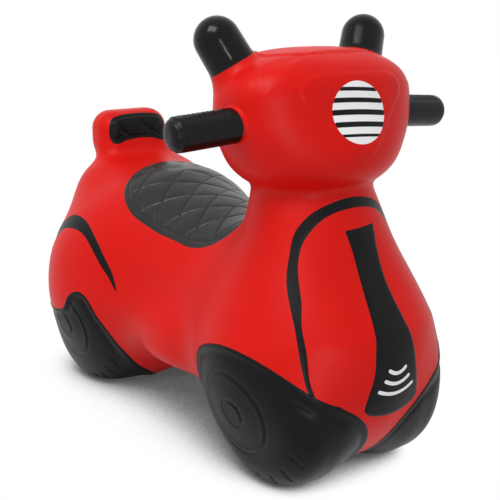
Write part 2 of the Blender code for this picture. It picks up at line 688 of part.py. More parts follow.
def make_tail_pad(forms):
    """Pad on the front face of the back rest, with rounded corners, an arched lower edge and a stitched peak."""
    outline = mirrored(smooth_curve(TAIL_PAD_OUTLINE, 2))
    face, back = TAIL_REST[0][1] - REST_DEPTH, TAIL_REST[0][1]
    pad, recess = outline_inlay("tail_pad", forms, outline, "front", face, back)
    foot, rise = REST_CHANNEL_TOP - REST_CHANNEL_FALL, CHANNEL_WIDTH
    peak = np.array([
        (-REST_CHANNEL_HALF, foot), (0, REST_CHANNEL_TOP), (REST_CHANNEL_HALF, foot),
        (REST_CHANNEL_HALF, foot + rise), (0, REST_CHANNEL_TOP + rise), (-REST_CHANNEL_HALF, foot + rise),
    ])
    return quilted(pad, forms, prism(peak, "front", face + 1, back - 1)), recess


def seated(name, forms, shape, fat_shape):
    """A solid that stands in a shallow socket of the body, and the cutter for the socket."""
    piece = combine(shape, forms[COAT], "DIFFERENCE", keep=True)
    piece.name = name
    return piece, combine(fat_shape, forms[COAT + GAP], "DIFFERENCE", keep=True)


def grip_profile(length):
    """Barrel of a grip with ribs along its top, a groove, and a smooth blunt cap."""
    collar = length - GRIP_COLLAR
    first = collar - CAP_GROOVE - GRIP_RIBS * RIB_PITCH
    profile = [(0, GRIP_RADIUS)]
    for rib in range(GRIP_RIBS):
        foot = first + rib * RIB_PITCH
        profile += [(foot, GRIP_RADIUS, -RIB_HEIGHT), (foot + RIB_PITCH / 2, GRIP_RADIUS, 0)]
    profile += [(collar - CAP_GROOVE, GRIP_RADIUS), (collar, GRIP_RADIUS - CAP_GROOVE)]
    profile += [(collar + CAP_GROOVE, GRIP_RADIUS)]
    # The cap's rounding is an oval quarter, flatter than a half ball
    oval = [(length + GRIP_RADIUS * math.sin(t), GRIP_RADIUS * math.cos(t) ** 0.7) for t in CAP_TURNS]
    return profile + oval


def make_grip(name, forms, side):
    start, end = np.array(GRIP_AXIS) * (side, 1, 1)
    length = np.linalg.norm(end - start)
    bore = GRIP_RADIUS + GAP
    shape = turned(name, grip_profile(length), start, end - start, GRIP_SIDES)
    socket = turned("tool", [(0, bore), (length, bore)], start, end - start, GRIP_SIDES)
    return seated(name, forms, shape, socket)


def make_horn(name, forms, side):
    start, end = np.array(HORN_AXIS) * (side, 1, 1)
    length = np.linalg.norm(end - start)
    foot, waist = HORN_RADIUS + 1, HORN_RADIUS + 0.3
    profile = [(0, foot), (length / 2, waist)] + round_end(length, HORN_RADIUS - 0.6, 4)
    shape = turned(name, profile, start, end - start, HORN_SIDES)
    socket_profile = [(0, foot + GAP), (length / 2, waist + GAP), (length, HORN_RADIUS + GAP)]
    socket = turned("tool", socket_profile, start, end - start, HORN_SIDES)
    return seated(name, forms, shape, socket)


def add_valve(skin):
    """Boss and stepped hole on the belly. Returns the plug, whose origin is on the hole's axis."""
    belly = extent(trunk, (0, PLUG_Y, SPINE_Z), (0, 0, -1), SPINE_Z)[2]
    face, down = belly - BOSS_DROP, (0, 0, -1)
    boss = [(-BOSS_ROOT, BOSS_RADIUS + 1), (0, BOSS_RADIUS + 1), (BOSS_DROP, BOSS_RADIUS)]
    combine(skin, turned("tool", boss, (0, PLUG_Y, belly), down, VALVE_SIDES), "UNION")
    ledge = FLANGE_THICK + GAP
    hole = [(-ledge - HOLE_DEPTH, STEM_RADIUS + GAP), (-ledge, STEM_RADIUS + GAP)]
    hole += [(-ledge + STEP, FLANGE_RADIUS + GAP), (HOLE_MOUTH, FLANGE_RADIUS + GAP)]
    combine(skin, turned("tool", hole, (0, PLUG_Y, face), down, VALVE_SIDES), "DIFFERENCE")
    tip, (narrower, taper) = FLANGE_THICK + STEM_LENGTH, TIP_TAPER
    stem = [(-tip, STEM_RADIUS - narrower), (taper - tip, STEM_RADIUS), (-FLANGE_THICK, STEM_RADIUS)]
    flange = [(-FLANGE_THICK + STEP, FLANGE_RADIUS), (-FLANGE_THICK / 3, FLANGE_RADIUS)]
    flange += [(0, FLANGE_RADIUS - narrower)]
    plug = turned("air_plug", stem + flange, (0, 0, 0), down, VALVE_SIDES)
    plug.location = (0, PLUG_Y * MM, face * MM)
    return plug


def drop_chips(shell):
    """Deletes the loose bits of a few vertices that cutting can leave at a corner."""
    waiting = set(shell.verts)
    while waiting:
        to_visit = [waiting.pop()]
        island = set(to_visit)
        while to_visit:
            vertex = to_visit.pop()
            found = {edge.other_vert(vertex) for edge in vertex.link_edges} - island
            island |= found
            to_visit.extend(found)
        waiting -= island
        if len(island) < CHIP:
            bmesh.ops.delete(shell, geom=list(island), context="VERTS")


def tidy(each):
    """Joins faces that lie flat against each other and drops the slivers and chips that cutting leaves."""
    shell = bmesh.new()
    shell.from_mesh(each.data)
    drop_chips(shell)
    bmesh.ops.dissolve_degenerate(shell, dist=SLIVER * MM, edges=shell.edges)
    bmesh.ops.dissolve_limit(shell, angle_limit=FLAT_ENOUGH, verts=shell.verts, edges=shell.edges)
    bmesh.ops.triangulate(shell, faces=shell.faces)
    if all(edge.is_manifold for edge in shell.edges):
        shell.to_mesh(each.data)
    shell.free()


def finish(each, colour, roughness):
    """Gives a node its material, and smooth shading with sharp rims."""
    tidy(each)
    look = bpy.data.materials.new(each.name)
    look.use_nodes = True
    shader = look.node_tree.nodes["Principled BSDF"]
    shader.inputs["Base Color"].default_value = colour
    shader.inputs["Roughness"].default_value = roughness
    shader.inputs["Metallic"].default_value = 0
    each.data.materials.clear()
    each.data.materials.append(look)
    each.data.shade_smooth()
    each.data.set_sharp_from_angle(angle=math.radians(35))


def main():
    for each in list(bpy.data.objects):
        bpy.data.objects.remove(each, do_unlink=True)
    forms = make_forms()
    skin = copy_of(forms[0], "bladder_skin")
    looks, recesses = {}, []

    seat, recess = make_seat(forms)
    looks[seat] = (SEAT_GREY, 0.42)
    recesses.append(recess)
    pad, recess = make_tail_pad(forms)
    looks[pad] = (BLACK, 0.5)
    recesses.append(recess)
    panel, chevrons, recess = make_panel(forms)
    looks[panel] = (BLACK, 0.4)
    looks.update({chevron: (WHITE, 0.4) for chevron in chevrons})
    recesses.append(recess)
    disc, bars, recess = make_lamp(forms)
    looks[disc] = (WHITE, 0.35)
    looks.update({bar: (BLACK, 0.4) for bar in bars})
    recesses.append(recess)
    stripe, recess = make_shield_stripe(forms)
    looks[stripe] = (BLACK, 0.4)
    recesses.append(recess)
    for side, word in ((-1, "right"), (1, "left")):
        for front, place in ((True, "front"), (False, "rear")):
            coat, recess = make_wheel(f"{place}_wheel_{word}", forms, side, front)
            looks[coat] = (BLACK, 0.45)
            recesses.append(recess)
        pairs = ((make_rear_stripe, "rear_stripe", 0.4), (make_grip, "grip", 0.5), (make_horn, "mirror_horn", 0.25))
        for make, part, roughness in pairs:
            piece, recess = make(f"{part}_{word}", forms, side)
            looks[piece] = (BLACK, roughness)
            recesses.append(recess)

    for recess in recesses:
        combine(skin, recess, "DIFFERENCE")
    combine(skin, make_chamber(), "DIFFERENCE")
    looks[add_valve(skin)] = (BLACK, 0.5)
    looks[skin] = (RED, 0.4)
    remove(*forms.values())
    for each, (colour, roughness) in looks.items():
        finish(each, colour, roughness)


main()
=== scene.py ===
"""Looks of the inflatable hop scooter: one smooth vinyl bladder, its painted coats, studio and camera.

The toy's sizes and places are in millimetres, and become metres when a mesh is made.
The studio's are in metres.
+Z is up, +X the rider's left, -Y the front, as in the CAD.
"""

import math

import bpy
import numpy as np
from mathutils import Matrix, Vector


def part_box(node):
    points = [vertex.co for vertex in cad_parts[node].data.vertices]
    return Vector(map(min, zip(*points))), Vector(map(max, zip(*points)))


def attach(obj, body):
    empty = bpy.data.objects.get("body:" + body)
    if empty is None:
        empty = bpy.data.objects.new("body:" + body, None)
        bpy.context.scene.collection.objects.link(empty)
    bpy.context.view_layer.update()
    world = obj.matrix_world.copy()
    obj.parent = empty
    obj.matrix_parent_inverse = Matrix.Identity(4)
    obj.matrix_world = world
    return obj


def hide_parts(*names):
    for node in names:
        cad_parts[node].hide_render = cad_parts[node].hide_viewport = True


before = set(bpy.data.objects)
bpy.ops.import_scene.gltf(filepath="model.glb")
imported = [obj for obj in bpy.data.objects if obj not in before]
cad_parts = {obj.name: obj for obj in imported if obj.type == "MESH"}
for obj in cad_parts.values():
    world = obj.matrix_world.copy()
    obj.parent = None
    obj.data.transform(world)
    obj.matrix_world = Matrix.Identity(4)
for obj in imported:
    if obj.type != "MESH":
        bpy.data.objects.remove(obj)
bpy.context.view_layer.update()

MM = 0.001
# Net that the surface is first drawn with: pitch, how much coarser a quick one is, and the box it fills
NET_STEP, QUICK_NET = 4.0, 1.5
NET_LOW, NET_HIGH = (-190, -300, -8), (190, 300, 486)
LONG_EDGE = 1.4  # an edge is divided when it is longer than this many times what is wanted
# Cutting: how near the line the mesh is looked at, how near it a point is moved onto it, as a share of its
# shortest edge, and how near it a fixed point counts as on it
CUT_REACH, SNAP_SHARE, ON_LINE = 16.0, 0.22, 0.06
COAT_DEPTH = 0.9  # thickness of a painted coat
COAT_PLAY = 0.05  # space between a coat and the skin under it

# Rounded lobes of the trunk: centre, then half sizes
CHEST = ((0, -157, 108), (115, 115, 106))
RUMP = ((0, 173, 132), (149, 118, 144))
# Squarer lobe: centre, half sizes and how square it is
BELLY = ((0, -5, 109), (112, 66, 43), 2.9)
# Tapered lobes: one end, its radius, the other end, its radius, and how much wider than deep they are
NECK = ((0, -182, 154), 98, (0, -150, 318), 55, 1.13)
BARREL = ((0, -125, 156), 76, (0, 94, 171), 108, 1.0)
# Bar across the root of the back rest: half length, place along the toy, height and radius
TAIL_ROOT = (38, 216, 246, 40)
TAIL_REST = ((0, 234, 317), (51, 29, 32), 25)  # centre, half sizes and edge rounding
# Wheels: half track, place along the toy, radius, half width and edge rounding
FRONT_WHEEL = (64, -187, 84, 40, 35)
REAR_WHEEL = (80, 182, 79, 40, 39)
WHEEL_SINK = 2.0
TRUNK_BLEND, WHEEL_BLEND, TAIL_BLEND, REST_BLEND = 69, 29, 47, 28
# Hollows under the chest and under the rump, between the tyres
ARCHES, ARCH_BLEND = (((0, -160, 0), (31, 105, 22)), ((0, 178, 0), (31, 160, 27))), 10
# Shallow hollow down the middle of the leg shield: centre, reach each way and depth
SHIELD_HOLLOW = ((0, -262, 218), (48, 70, 42), 6.5)
HEAD = ((0, -156, 391), (110, 65, 54), 2.67)
CHIN = ((0, -156, 338), (88, 75, 43))
CHIN_BLEND, COLLAR_BLEND = 43, 9
GRIP_AXIS, GRIP_RADIUS, GRIP_BLEND = ((80, -168.4, 377.9), (162, -162.2, 371.7)), 17.5, 2
HORN_AXIS, HORN_RADII, HORN_BLEND = ((72, -140, 404), (97, -123, 454)), (25, 23.6), 8

# Outlines of the coats, as the points that a smooth curve runs through
SEAT_OUTLINE = (
    (0, -92), (28, -90), (50, -81), (63, -60), (71, -30), (76, 5), (82, 45), (87, 80), (82, 104),
    (66, 125), (36, 140), (0, 145),
)
TAIL_PAD_OUTLINE = ((0, 313), (20, 311), (36, 307), (42, 314), (42, 330), (33, 342), (0, 345))
# Front wheels' coats: the arc over them, the line that ends them behind, and the rounding between the two
FRONT_COAT_CENTRE, FRONT_COAT_RADIUS, FRONT_COAT_BACK, FRONT_COAT_ROUNDING = (-183, 35), 122, -93, 26
WHEEL_INNER_EDGE = ((61, 110), (40, 95), (23, 75), (14, 53), (11, 32))
REAR_WHEEL_OUTLINE = (
    (132, -12), (126, 2), (103, 25), (88, 58), (89, 88), (99, 113), (111, 136), (127, 141),
    (144, 131), (159, 112), (192, 104), (240, 101), (310, 98), (310, -12),
)
SHIELD_OUTER = (
    (88, 118), (92, 134), (92.8, 161), (89.3, 184), (82, 220),
    (71.2, 248), (58.8, 274.5), (36.5, 293), (0, 301),
)
SHIELD_INNER = (
    (0, 291), (32, 285), (54.6, 266.3), (67.8, 241), (76.8, 208), (84.5, 184),
    (88.2, 150), (88, 134), (84, 118),
)
REAR_STRIPE_OUTER = (
    (67, 151), (78, 176), (105, 206), (142, 226), (182, 225), (214, 204), (240, 168), (249, 142),
)
REAR_STRIPE_INNER = (
    (247, 142), (233, 165), (206, 191), (183, 209), (145, 213), (116, 201), (86, 173), (69, 151),
)
PANEL_OUTLINE = (
    (20, 272), (16.9, 250), (16.6, 220), (20.4, 188), (26, 160), (28.8, 138), (33.4, 119), (36, 104),
)
PANEL_DIP = 15.0
# How far the print is off the middle at its top, the slope of its top edge, and how fast that slope fades
PANEL_LEAN, PANEL_SLANT, SLANT_FADE = 2.0, 0.07, 8
# Headlamp: its centre and half sizes, then height and thickness of each bar, and how a bar bows and leans
LAMP_CENTRE, LAMP_HALF = (0, 386), (33.5, 30)
LAMP_BARS = ((407.5, 3.6), (397, 4.6), (385.5, 5.2), (374, 5.0), (363.5, 2.8))
LAMP_BAR_REACH, LAMP_BAR_BOW, LAMP_LEAN = 38, 1.0, math.radians(3.5)
# Marks on the panel: half width, height of the ends and sag
CHEVRONS = ((24, 120.5, 5.5), (17.3, 130.5, 4.8), (12.5, 140.5, 4.0))
CHEVRON_WIDTH = 3.8

# Between which depths along its view each outline holds
LAMP_DEPTHS, PANEL_DEPTHS, SHIELD_DEPTHS = (-300, -180), (-330, -200), (-330, -165)
SEAT_DEPTHS, TAIL_PAD_DEPTHS = (185, 292), (120, TAIL_REST[0][1])
BEZEL_DEPTHS, CROWN_DEPTHS = (-300, -165), (420, 470)
WHEEL_SIDES, STRIPE_SIDES = (4, 175), (60, 175)
# Space of one side of the toy, from the edge between the wheels outwards
SIDE_REACH, SIDE_HEIGHTS, WHOLE_LENGTH = 176, (-14, 210), (-330, 330)
# Coats of the grips and horns: how far they stay off the head, how far off the form they hold, and how far
# from the middle they begin
GRIP_ZONE, HORN_ZONE = (1.7, 6, 60), (3.8, 8, 30)

# Lines of stitching on the saddle and the back rest pad: where they meet the middle, and their slope
QUILT_LINES, QUILT_SLOPE = (-125, -89, -53, -18, 18, 54, 92, 137, 180), 0.635
REST_QUILT_TOP, REST_QUILT_DROP, REST_QUILT_SLOPE = 334, 27, 0.64
PUFF_REACH = 6
# Relief of a pad: height of its edge, groove in its border, insets at which the quilting begins and is full,
# height of the puffs, and their seams. A groove or ridge is given by its place, height and width.
SEAT_QUILTING = (0.6, (5.6, -1.2, 1.0), (6.1, 8.6), 0.6, (0, -1.0, 0.9))
REST_QUILTING = (0.5, (3.2, -0.7, 1.0), (3, 6), 1.0, (0, -1.1, 1.1))
# Raised plates, round the lamp and on top of the head: softness of an edge, heights and outlines
SOFT_EDGE, CRISP_EDGE = 2.4, 1.6
BEZEL_HEIGHT, CROWN_HEIGHT = 0.9, 1.4
BEZEL_OUTLINE = (
    (0, 424), (39, 423.5), (56, 419.5), (64, 411), (62, 400), (51, 388), (39, 376), (30, 365),
    (22, 354), (11, 345), (0, 342),
)
CROWN_OUTLINE = ((0, -189), (36, -188), (53, -177), (66, -161), (62, -135), (40, -120), (0, -116))
# The panel stands out and the stripes are sunk, each from a little inside its border
PANEL_HEIGHT, PANEL_INSET, STRIPE_DEPTH, STRIPE_INSET = 0.9, 1.3, 0.5, 0.8
# Frame line round the face of the head, on one side
BROW_LINE = ((0, 446), (36, 442), (73, 436), (91, 425), (99, 405), (101, 388), (98, 368))
BROW_FACE = (388, (100, 57))  # height of the middle of the face inside the line, and half sizes
BROW_HEIGHT, BROW_WIDTH, BROW_GAP = 0.9, 4.5, 3
# It holds nearer to the middle, further forward and higher up than these, and fades towards the last two
BROW_LIMITS, BROW_LOW_FADE, BROW_BACK_FADE = (125, -150, 355), (362, 385), (150, 160)
# Hub rings: place along the toy, height, and radii of the small and the large ring
FRONT_HUB = (-177, 83, (14.5, 44))
REAR_HUB = (168, 88, (17, 44))
# Tread notches: angle of one round the axle, step, slant for each mm across, and outer and inner reach
FRONT_TREADS = (math.radians(154.5), math.radians(21), math.radians(0.65), 103, 87)
REAR_TREADS = (math.radians(194.7), math.radians(15.5), math.radians(0.95), 108, 78)
TREAD_DEPTH, TREAD_WIDTH = 1.4, 1.3
# Grooves and ridges of the hub rings, and of the coat's border: place, height and width
SMALL_RING, LARGE_RING = ((0, -1.2, 1.5), (-3.2, 0.5, 1.8)), ((1.2, -1.0, 1.8), (-2.2, 0.6, 2.4))
LIP_HEIGHT, VALLEY = 0.8, (9, -1.2, 3.6)
# Where rings fade in, off the wheel's middle plane, and treads, off its radius, and the insets for both
RING_FADE, TREAD_FADE, RING_INSET, TREAD_INSET = (12, 24), (-23, -17), (4, 9), (9, 14)
GRIP_RIBS, RIB_PITCH, RIB_HEIGHT = 8, 5.0, 1.1
RIB_STRIP = (0.62, 0.74)  # cosine of the angle from the top of the grip at which the ribs begin, and are full
# How blunt the grips' caps are, where their rim is, and the groove and ridge of that rim
CAP_POWER, CAP_RIM, CAP_GROOVES = 3.2, 11.5, ((0, -0.9, 0.9), (-2.2, 0.5, 1.2))

# Air plug on the belly
PLUG_Y = -26
STEM_RADIUS, STEM_LENGTH = 4.0, 9.5
FLANGE_RADIUS, FLANGE_THICK = 8.3, 1.6
BOSS_RADIUS, BOSS_DROP = 12.0, 1.5
DISH_RADIUS, DISH_DEPTH = 38.0, 2.37  # shallow dish round the boss
PLUG_GAP = 0.3
VALVE_REACH, PLUG_CEILING = BOSS_RADIUS + 2, 90  # its relief holds within this radius, under this height
# Turned section of the plug, from the stem's tip on: how far down from the underside, and radius
STEM_TIP = -FLANGE_THICK - STEM_LENGTH
PLUG_SECTION = (
    (STEM_TIP, 0), (STEM_TIP, 2.6), (STEM_TIP + 0.6, 3.3), (STEM_TIP + 1.8, 3.9),
    (-FLANGE_THICK - 5.5, 3.6), (-FLANGE_THICK - 4.5, 4.0), (-FLANGE_THICK - 0.4, 4.0), (-FLANGE_THICK, 4.4),
    (-FLANGE_THICK, FLANGE_RADIUS - 0.3), (-FLANGE_THICK + 0.3, FLANGE_RADIUS),
    (-0.5, FLANGE_RADIUS), (-0.1, FLANGE_RADIUS - 0.5), (0, FLANGE_RADIUS - 1.2),
    (0, 4.4), (-0.5, 3.9), (-0.5, 0),
)
PLUG_SIDES, PLUG_SHARP = 48, math.radians(35)

# How long the mesh edges may be in each zone, on the head, at the stitching, at the valve and elsewhere
ZONE_EDGES = {
    "seat_pad": 1.7, "tail_pad": 1.7, "headlamp_disc": 1.5, "grip": 1.5, "panel_chevron": 0.9,
    "front_wheel": 2.2, "rear_wheel": 2.2, "mirror_horn": 2.6,
    "front_panel": 2.4, "shield_stripe": 2.4, "rear_stripe": 2.4,
}
HEAD_FLOOR, HEAD_EDGE, STITCH_EDGE, VALVE_EDGE, PLAIN_EDGE = 325, 2.8, 0.9, 0.8, 50.0

# Vinyls: colour, how dark its darker patches are, roughness, mirror level, and scale and height of the grain
VINYLS = {
    "red_vinyl": ((0.66, 0.005, 0.002), 0.94, 0.42, 0.14, 420, 0.03),
    "black_vinyl": ((0.0035, 0.0035, 0.0045), 0.8, 0.4, 0.13, 420, 0.03),
    "grip_vinyl": ((0.004, 0.004, 0.004), 0.8, 0.32, 0.16, 420, 0.03),
    "gloss_black_vinyl": ((0.002, 0.002, 0.002), 0.85, 0.18, 0.18, 420, 0.01),
    "seat_vinyl": ((0.014, 0.0145, 0.014), 0.85, 0.33, 0.28, 650, 0.05),
    "white_vinyl": ((0.9, 0.9, 0.91), 0.97, 0.4, 0.3, 420, 0.03),
}
MOTTLE_SCALE, MOTTLE_RANGE, GLOSS_PLAY = 9.0, (0.3, 0.7), 0.035
GRAIN_STRENGTH = 0.35
# Look by the beginning of a node's name, where it isn't black vinyl
LOOK_OF = {
    "bladder_skin": "red_vinyl", "headlamp_disc": "white_vinyl", "panel_chevron": "white_vinyl",
    "seat_pad": "seat_vinyl", "mirror_horn": "gloss_black_vinyl", "grip": "grip_vinyl",
}

# Painted shadow on the white floor: the glow that the camera sees is darkened where the toy stands near,
# not shaded by the lamps. How near it looks for what stands over it, range and depth of the painted shade,
# and the way it looks
SHADOW_REACH, SHADOW_RANGE, SHADOW_LEVEL = 0.28, (0.25, 0.58), 0.07
SHADOW_LEAN = (0.05, -0.45, 0.89)
FLOOR_REACH, FLOOR_COLOUR = 30.0, (0.8, 0.8, 0.8, 1)
WORLD_LEVEL = 0.6  # strength of the world's light, where it isn't seen directly
# Area lamps: place, target, size, power, and whether one gives highlights only
LAMPS = {
    "overhead": ((-1.15, -0.5, 1.95), (0, 0, 0.2), (1.2, 0.8), 26, False),
    "strip": ((-0.67, -1.43, 0.16), (-0.1, -0.14, 0.43), (0.1, 1.0), 7, True),
}
CAMERA_PLACE, CAMERA_TURN = (-0.62588, -0.893, 0.490), (math.radians(90 - 14.931), 0, math.radians(-36.453))
CAMERA_LENS, SENSOR_WIDTH = 66.96, 36.0


# Forms: each gives the signed distance from its surface, negative inside


def blend(first, second, reach):
    """Two forms joined with a soft fillet."""
    share = np.clip(0.5 + 0.5 * (second - first) / reach, 0, 1)
    return second + (first - second) * share - reach * share * (1 - share)


def overlap(first, second, reach):
    """What two forms share, with a rounded corner."""
    return -blend(-first, -second, reach)


def ellipsoid(p, centre, half):
    off = (p - centre) / np.array(half, float)
    length = np.linalg.norm(off, axis=1)
    slope = np.linalg.norm(off / half, axis=1)
    return length * (length - 1) / np.maximum(slope, 1e-9)


def soft_box(p, centre, half, power):
    off = np.abs((p - centre) / np.array(half, float))
    return ((off**power).sum(1) ** (1 / power) - 1) * min(half)


def tapered(p, start, start_radius, end, end_radius, widen=1.0):
    scale = np.array([widen, 1, 1])
    start, end = np.array(start) / scale, np.array(end) / scale
    line = end - start
    along = np.clip(((p / scale - start) @ line) / (line @ line), 0, 1)
    away = np.linalg.norm(p / scale - (start + along[:, None] * line), axis=1)
    return away - (start_radius + (end_radius - start_radius) * along)


def cross_bar(p, half_length, y, z, radius):
    beyond = np.maximum(np.abs(p[:, 0]) - half_length, 0)
    return np.sqrt(beyond**2 + (p[:, 1] - y) ** 2 + (p[:, 2] - z) ** 2) - radius


def rounded_box(p, centre, half, rounding):
    away = np.abs(p - centre) - (np.array(half, float) - rounding)
    return np.linalg.norm(np.maximum(away, 0), axis=1) + np.minimum(away.max(1), 0) - rounding


def wheel(p, track, y, radius, half_width, rounding):
    out = np.hypot(p[:, 1] - y, p[:, 2] - (radius - WHEEL_SINK)) - (radius - rounding)
    side = np.abs(np.abs(p[:, 0]) - track) - (half_width - rounding)
    corner = np.hypot(np.maximum(out, 0), np.maximum(side, 0))
    return corner + np.minimum(np.maximum(out, side), 0) - rounding


def hollow(p, centre, reach, depth):
    """How far a shallow hollow moves the surface in."""
    return depth * np.exp(-(((p - centre) / np.array(reach, float)) ** 2).sum(1))


def trunk(p):
    form = blend(ellipsoid(p, *CHEST), tapered(p, *NECK), TRUNK_BLEND) + hollow(p, *SHIELD_HOLLOW)
    form = blend(form, tapered(p, *BARREL), TRUNK_BLEND)
    form = blend(form, soft_box(p, *BELLY), WHEEL_BLEND)
    form = blend(form, ellipsoid(p, *RUMP), TRUNK_BLEND)
    form = blend(form, cross_bar(p, *TAIL_ROOT), TAIL_BLEND)
    form = blend(form, wheel(p, *FRONT_WHEEL), WHEEL_BLEND)
    form = blend(form, wheel(p, *REAR_WHEEL), WHEEL_BLEND)
    for arch in ARCHES:
        form = overlap(form, -ellipsoid(p, *arch), ARCH_BLEND)
    return form


def head(p):
    return blend(soft_box(p, *HEAD), ellipsoid(p, *CHIN), CHIN_BLEND)


def on_left(p):
    """The points with those of the right half mirrored to the left."""
    return np.column_stack([np.abs(p[:, 0]), p[:, 1], p[:, 2]])


def grip_frame(p):
    """Places along and round the axis of a grip, and the grip's length."""
    start, end = np.array(GRIP_AXIS, float)
    length = np.linalg.norm(end - start)
    way = (end - start) / length
    off = on_left(p) - start
    along = off @ way
    return along, off - along[:, None] * way, length, way


def grip(p):
    """A barrel with a blunt rounded cap."""
    along, aside, length, _ = grip_frame(p)
    out = np.linalg.norm(aside, axis=1) / GRIP_RADIUS
    past = np.maximum(along - length, 0) / GRIP_RADIUS
    cap = (past**CAP_POWER + out**CAP_POWER) ** (1 / CAP_POWER)
    return (cap - 1) * GRIP_RADIUS + np.maximum(-along, 0)


def horn(p):
    return tapered(on_left(p), HORN_AXIS[0], HORN_RADII[0], HORN_AXIS[1], HORN_RADII[1])


def toy(p):
    form = blend(trunk(p), rounded_box(p, *TAIL_REST), REST_BLEND)
    form = blend(form, head(p), COLLAR_BLEND)
    form = blend(form, horn(p), HORN_BLEND)
    form = blend(form, grip(p), GRIP_BLEND)
    return np.maximum(form, -p[:, 2])


def unit(vectors):
    return vectors / np.maximum(np.linalg.norm(vectors, axis=1), 1e-12)[:, None]


def in_chunks(form, points, size=150_000):
    if len(points) == 0:
        return np.zeros(0)
    return np.concatenate([form(points[start : start + size]) for start in range(0, len(points), size)])


# Surface mesh

WAYS = np.eye(3, dtype=int)


def sample_grid(form, low, counts, step):
    """The form's values at the points of a grid."""
    axes = [low[axis] + step * np.arange(counts[axis]) for axis in range(3)]
    across = np.stack(np.meshgrid(axes[1], axes[2], indexing="ij"), -1).reshape(-1, 2)
    values = np.empty(counts)
    for index, x in enumerate(axes[0]):
        values[index] = form(np.column_stack([np.full(len(across), x), across])).reshape(counts[1:])
    return values


def crossed_cells(inside):
    """The cells that have corners both inside and outside the form."""
    counts = np.array(inside.shape)
    held = np.zeros(counts - 1, int)
    for corner in np.ndindex(2, 2, 2):
        held += inside[tuple(slice(c, n - 1 + c) for c, n in zip(corner, counts))]
    return np.argwhere((held > 0) & (held < 8))


def cell_points(values, cells):
    """One point in each cell, in grid steps: the mean of the places where its edges cross the surface."""
    total, hits = np.zeros((len(cells), 3)), np.zeros(len(cells))
    for axis in range(3):
        for one, two in np.ndindex(2, 2):
            start = cells + one * WAYS[(axis + 1) % 3] + two * WAYS[(axis + 2) % 3]
            here, there = values[tuple(start.T)], values[tuple((start + WAYS[axis]).T)]
            crossed = (here < 0) != (there < 0)
            share = np.where(crossed, here / np.where(crossed, here - there, 1), 0)
            total += np.where(crossed[:, None], start + share[:, None] * WAYS[axis], 0)
            hits += crossed
    return total / hits[:, None]


def net_quads(inside, cells):
    """A quad round each edge of the grid that crosses the surface, facing outwards."""
    counts = np.array(inside.shape)
    number = np.full(counts - 1, -1)
    number[tuple(cells.T)] = np.arange(len(cells))
    quads = []
    for axis in range(3):
        first, second = WAYS[(axis + 1) % 3], WAYS[(axis + 2) % 3]
        begin = first + second
        near = inside[tuple(slice(b, n - 1) for b, n in zip(begin, counts))]
        far = inside[tuple(slice(b + w, n - 1 + w) for b, w, n in zip(begin, WAYS[axis], counts))]
        at = np.argwhere(near != far) + begin
        around = [number[tuple((at - back).T)] for back in (first + second, second, 0 * first, first)]
        ring = np.stack(around, 1)
        inward = ~inside[tuple(at.T)]
        ring[inward] = ring[inward][:, ::-1]
        quads.append(ring)
    return np.vstack(quads)


def surface_net(form, low, high, step):
    """Points and quads over the form's surface, with a point in each grid cell that it passes through."""
    low = np.array(low, float)
    counts = np.ceil((np.array(high) - low) / step).astype(int) + 1
    values = sample_grid(form, low, counts, step)
    cells = crossed_cells(values < 0)
    return low + step * cell_points(values, cells), net_quads(values < 0, cells)


def gradient(form, points, reach=0.05):
    found = np.empty_like(points)
    for axis in range(3):
        step = np.zeros(3)
        step[axis] = reach
        found[:, axis] = in_chunks(form, points + step) - in_chunks(form, points - step)
    return found / (2 * reach)


def settle(form, points, rounds=2):
    """Moves the points onto the form's surface."""
    for _ in range(rounds):
        slope = gradient(form, points)
        size = np.maximum((slope**2).sum(1), 0.05)
        points = points - slope * (in_chunks(form, points) / size)[:, None]
    return points


def relax(form, points, quads, rounds):
    """Evens out the net while it stays on the surface."""
    sides = np.vstack([quads[:, [0, 1]], quads[:, [1, 2]], quads[:, [2, 3]], quads[:, [3, 0]]])
    count = np.bincount(sides.ravel(), minlength=len(points))
    for _ in range(rounds):
        near = [
            np.bincount(sides.ravel(), weights=points[sides[:, ::-1].ravel(), axis], minlength=len(points))
            for axis in range(3)
        ]
        points = settle(form, 0.4 * points + 0.6 * np.stack(near, 1) / count[:, None], 1)
    return points


def face_sides(faces):
    """Every side of every face, in the direction that the face runs through it."""
    return np.vstack([faces[:, pair] for pair in ([0, 1], [1, 2], [2, 0])])


def split(points, faces, choose):
    """Divides faces at new points on their edges. choose gives the edges to divide and the new points."""
    count = len(points)
    sides = np.stack([faces[:, [0, 1]], faces[:, [1, 2]], faces[:, [2, 0]]], 1)
    keys, place = np.unique(sides.min(2) * count + sides.max(2), return_inverse=True)
    edges = np.stack([keys // count, keys % count], 1)
    chosen, fresh = choose(points, edges)
    number = np.full(len(edges), -1)
    number[chosen] = count + np.arange(len(fresh))
    middle = number[place.reshape(-1, 3)]
    pattern = (middle >= 0) @ np.array([1, 2, 4])
    made = [faces[pattern == 0]]
    for turn in range(3):
        order = [turn, (turn + 1) % 3, (turn + 2) % 3]
        one = pattern == 1 << turn
        a, b, c = faces[one][:, order].T
        at = middle[one][:, turn]
        made += [np.stack([a, at, c], 1), np.stack([at, b, c], 1)]
        two = pattern == 7 - (1 << turn)
        a, b, c = faces[two][:, order].T
        low, high = middle[two][:, order[1]], middle[two][:, order[2]]
        made += [np.stack([low, c, high], 1), np.stack([a, b, low], 1), np.stack([a, low, high], 1)]
    every = pattern == 7
    a, b, c = faces[every].T
    ab, bc, ca = middle[every].T
    made += [np.stack(corner, 1) for corner in ((a, ab, ca), (ab, b, bc), (ca, bc, c), (ab, bc, ca))]
    return np.vstack([points, fresh]), np.vstack(made)


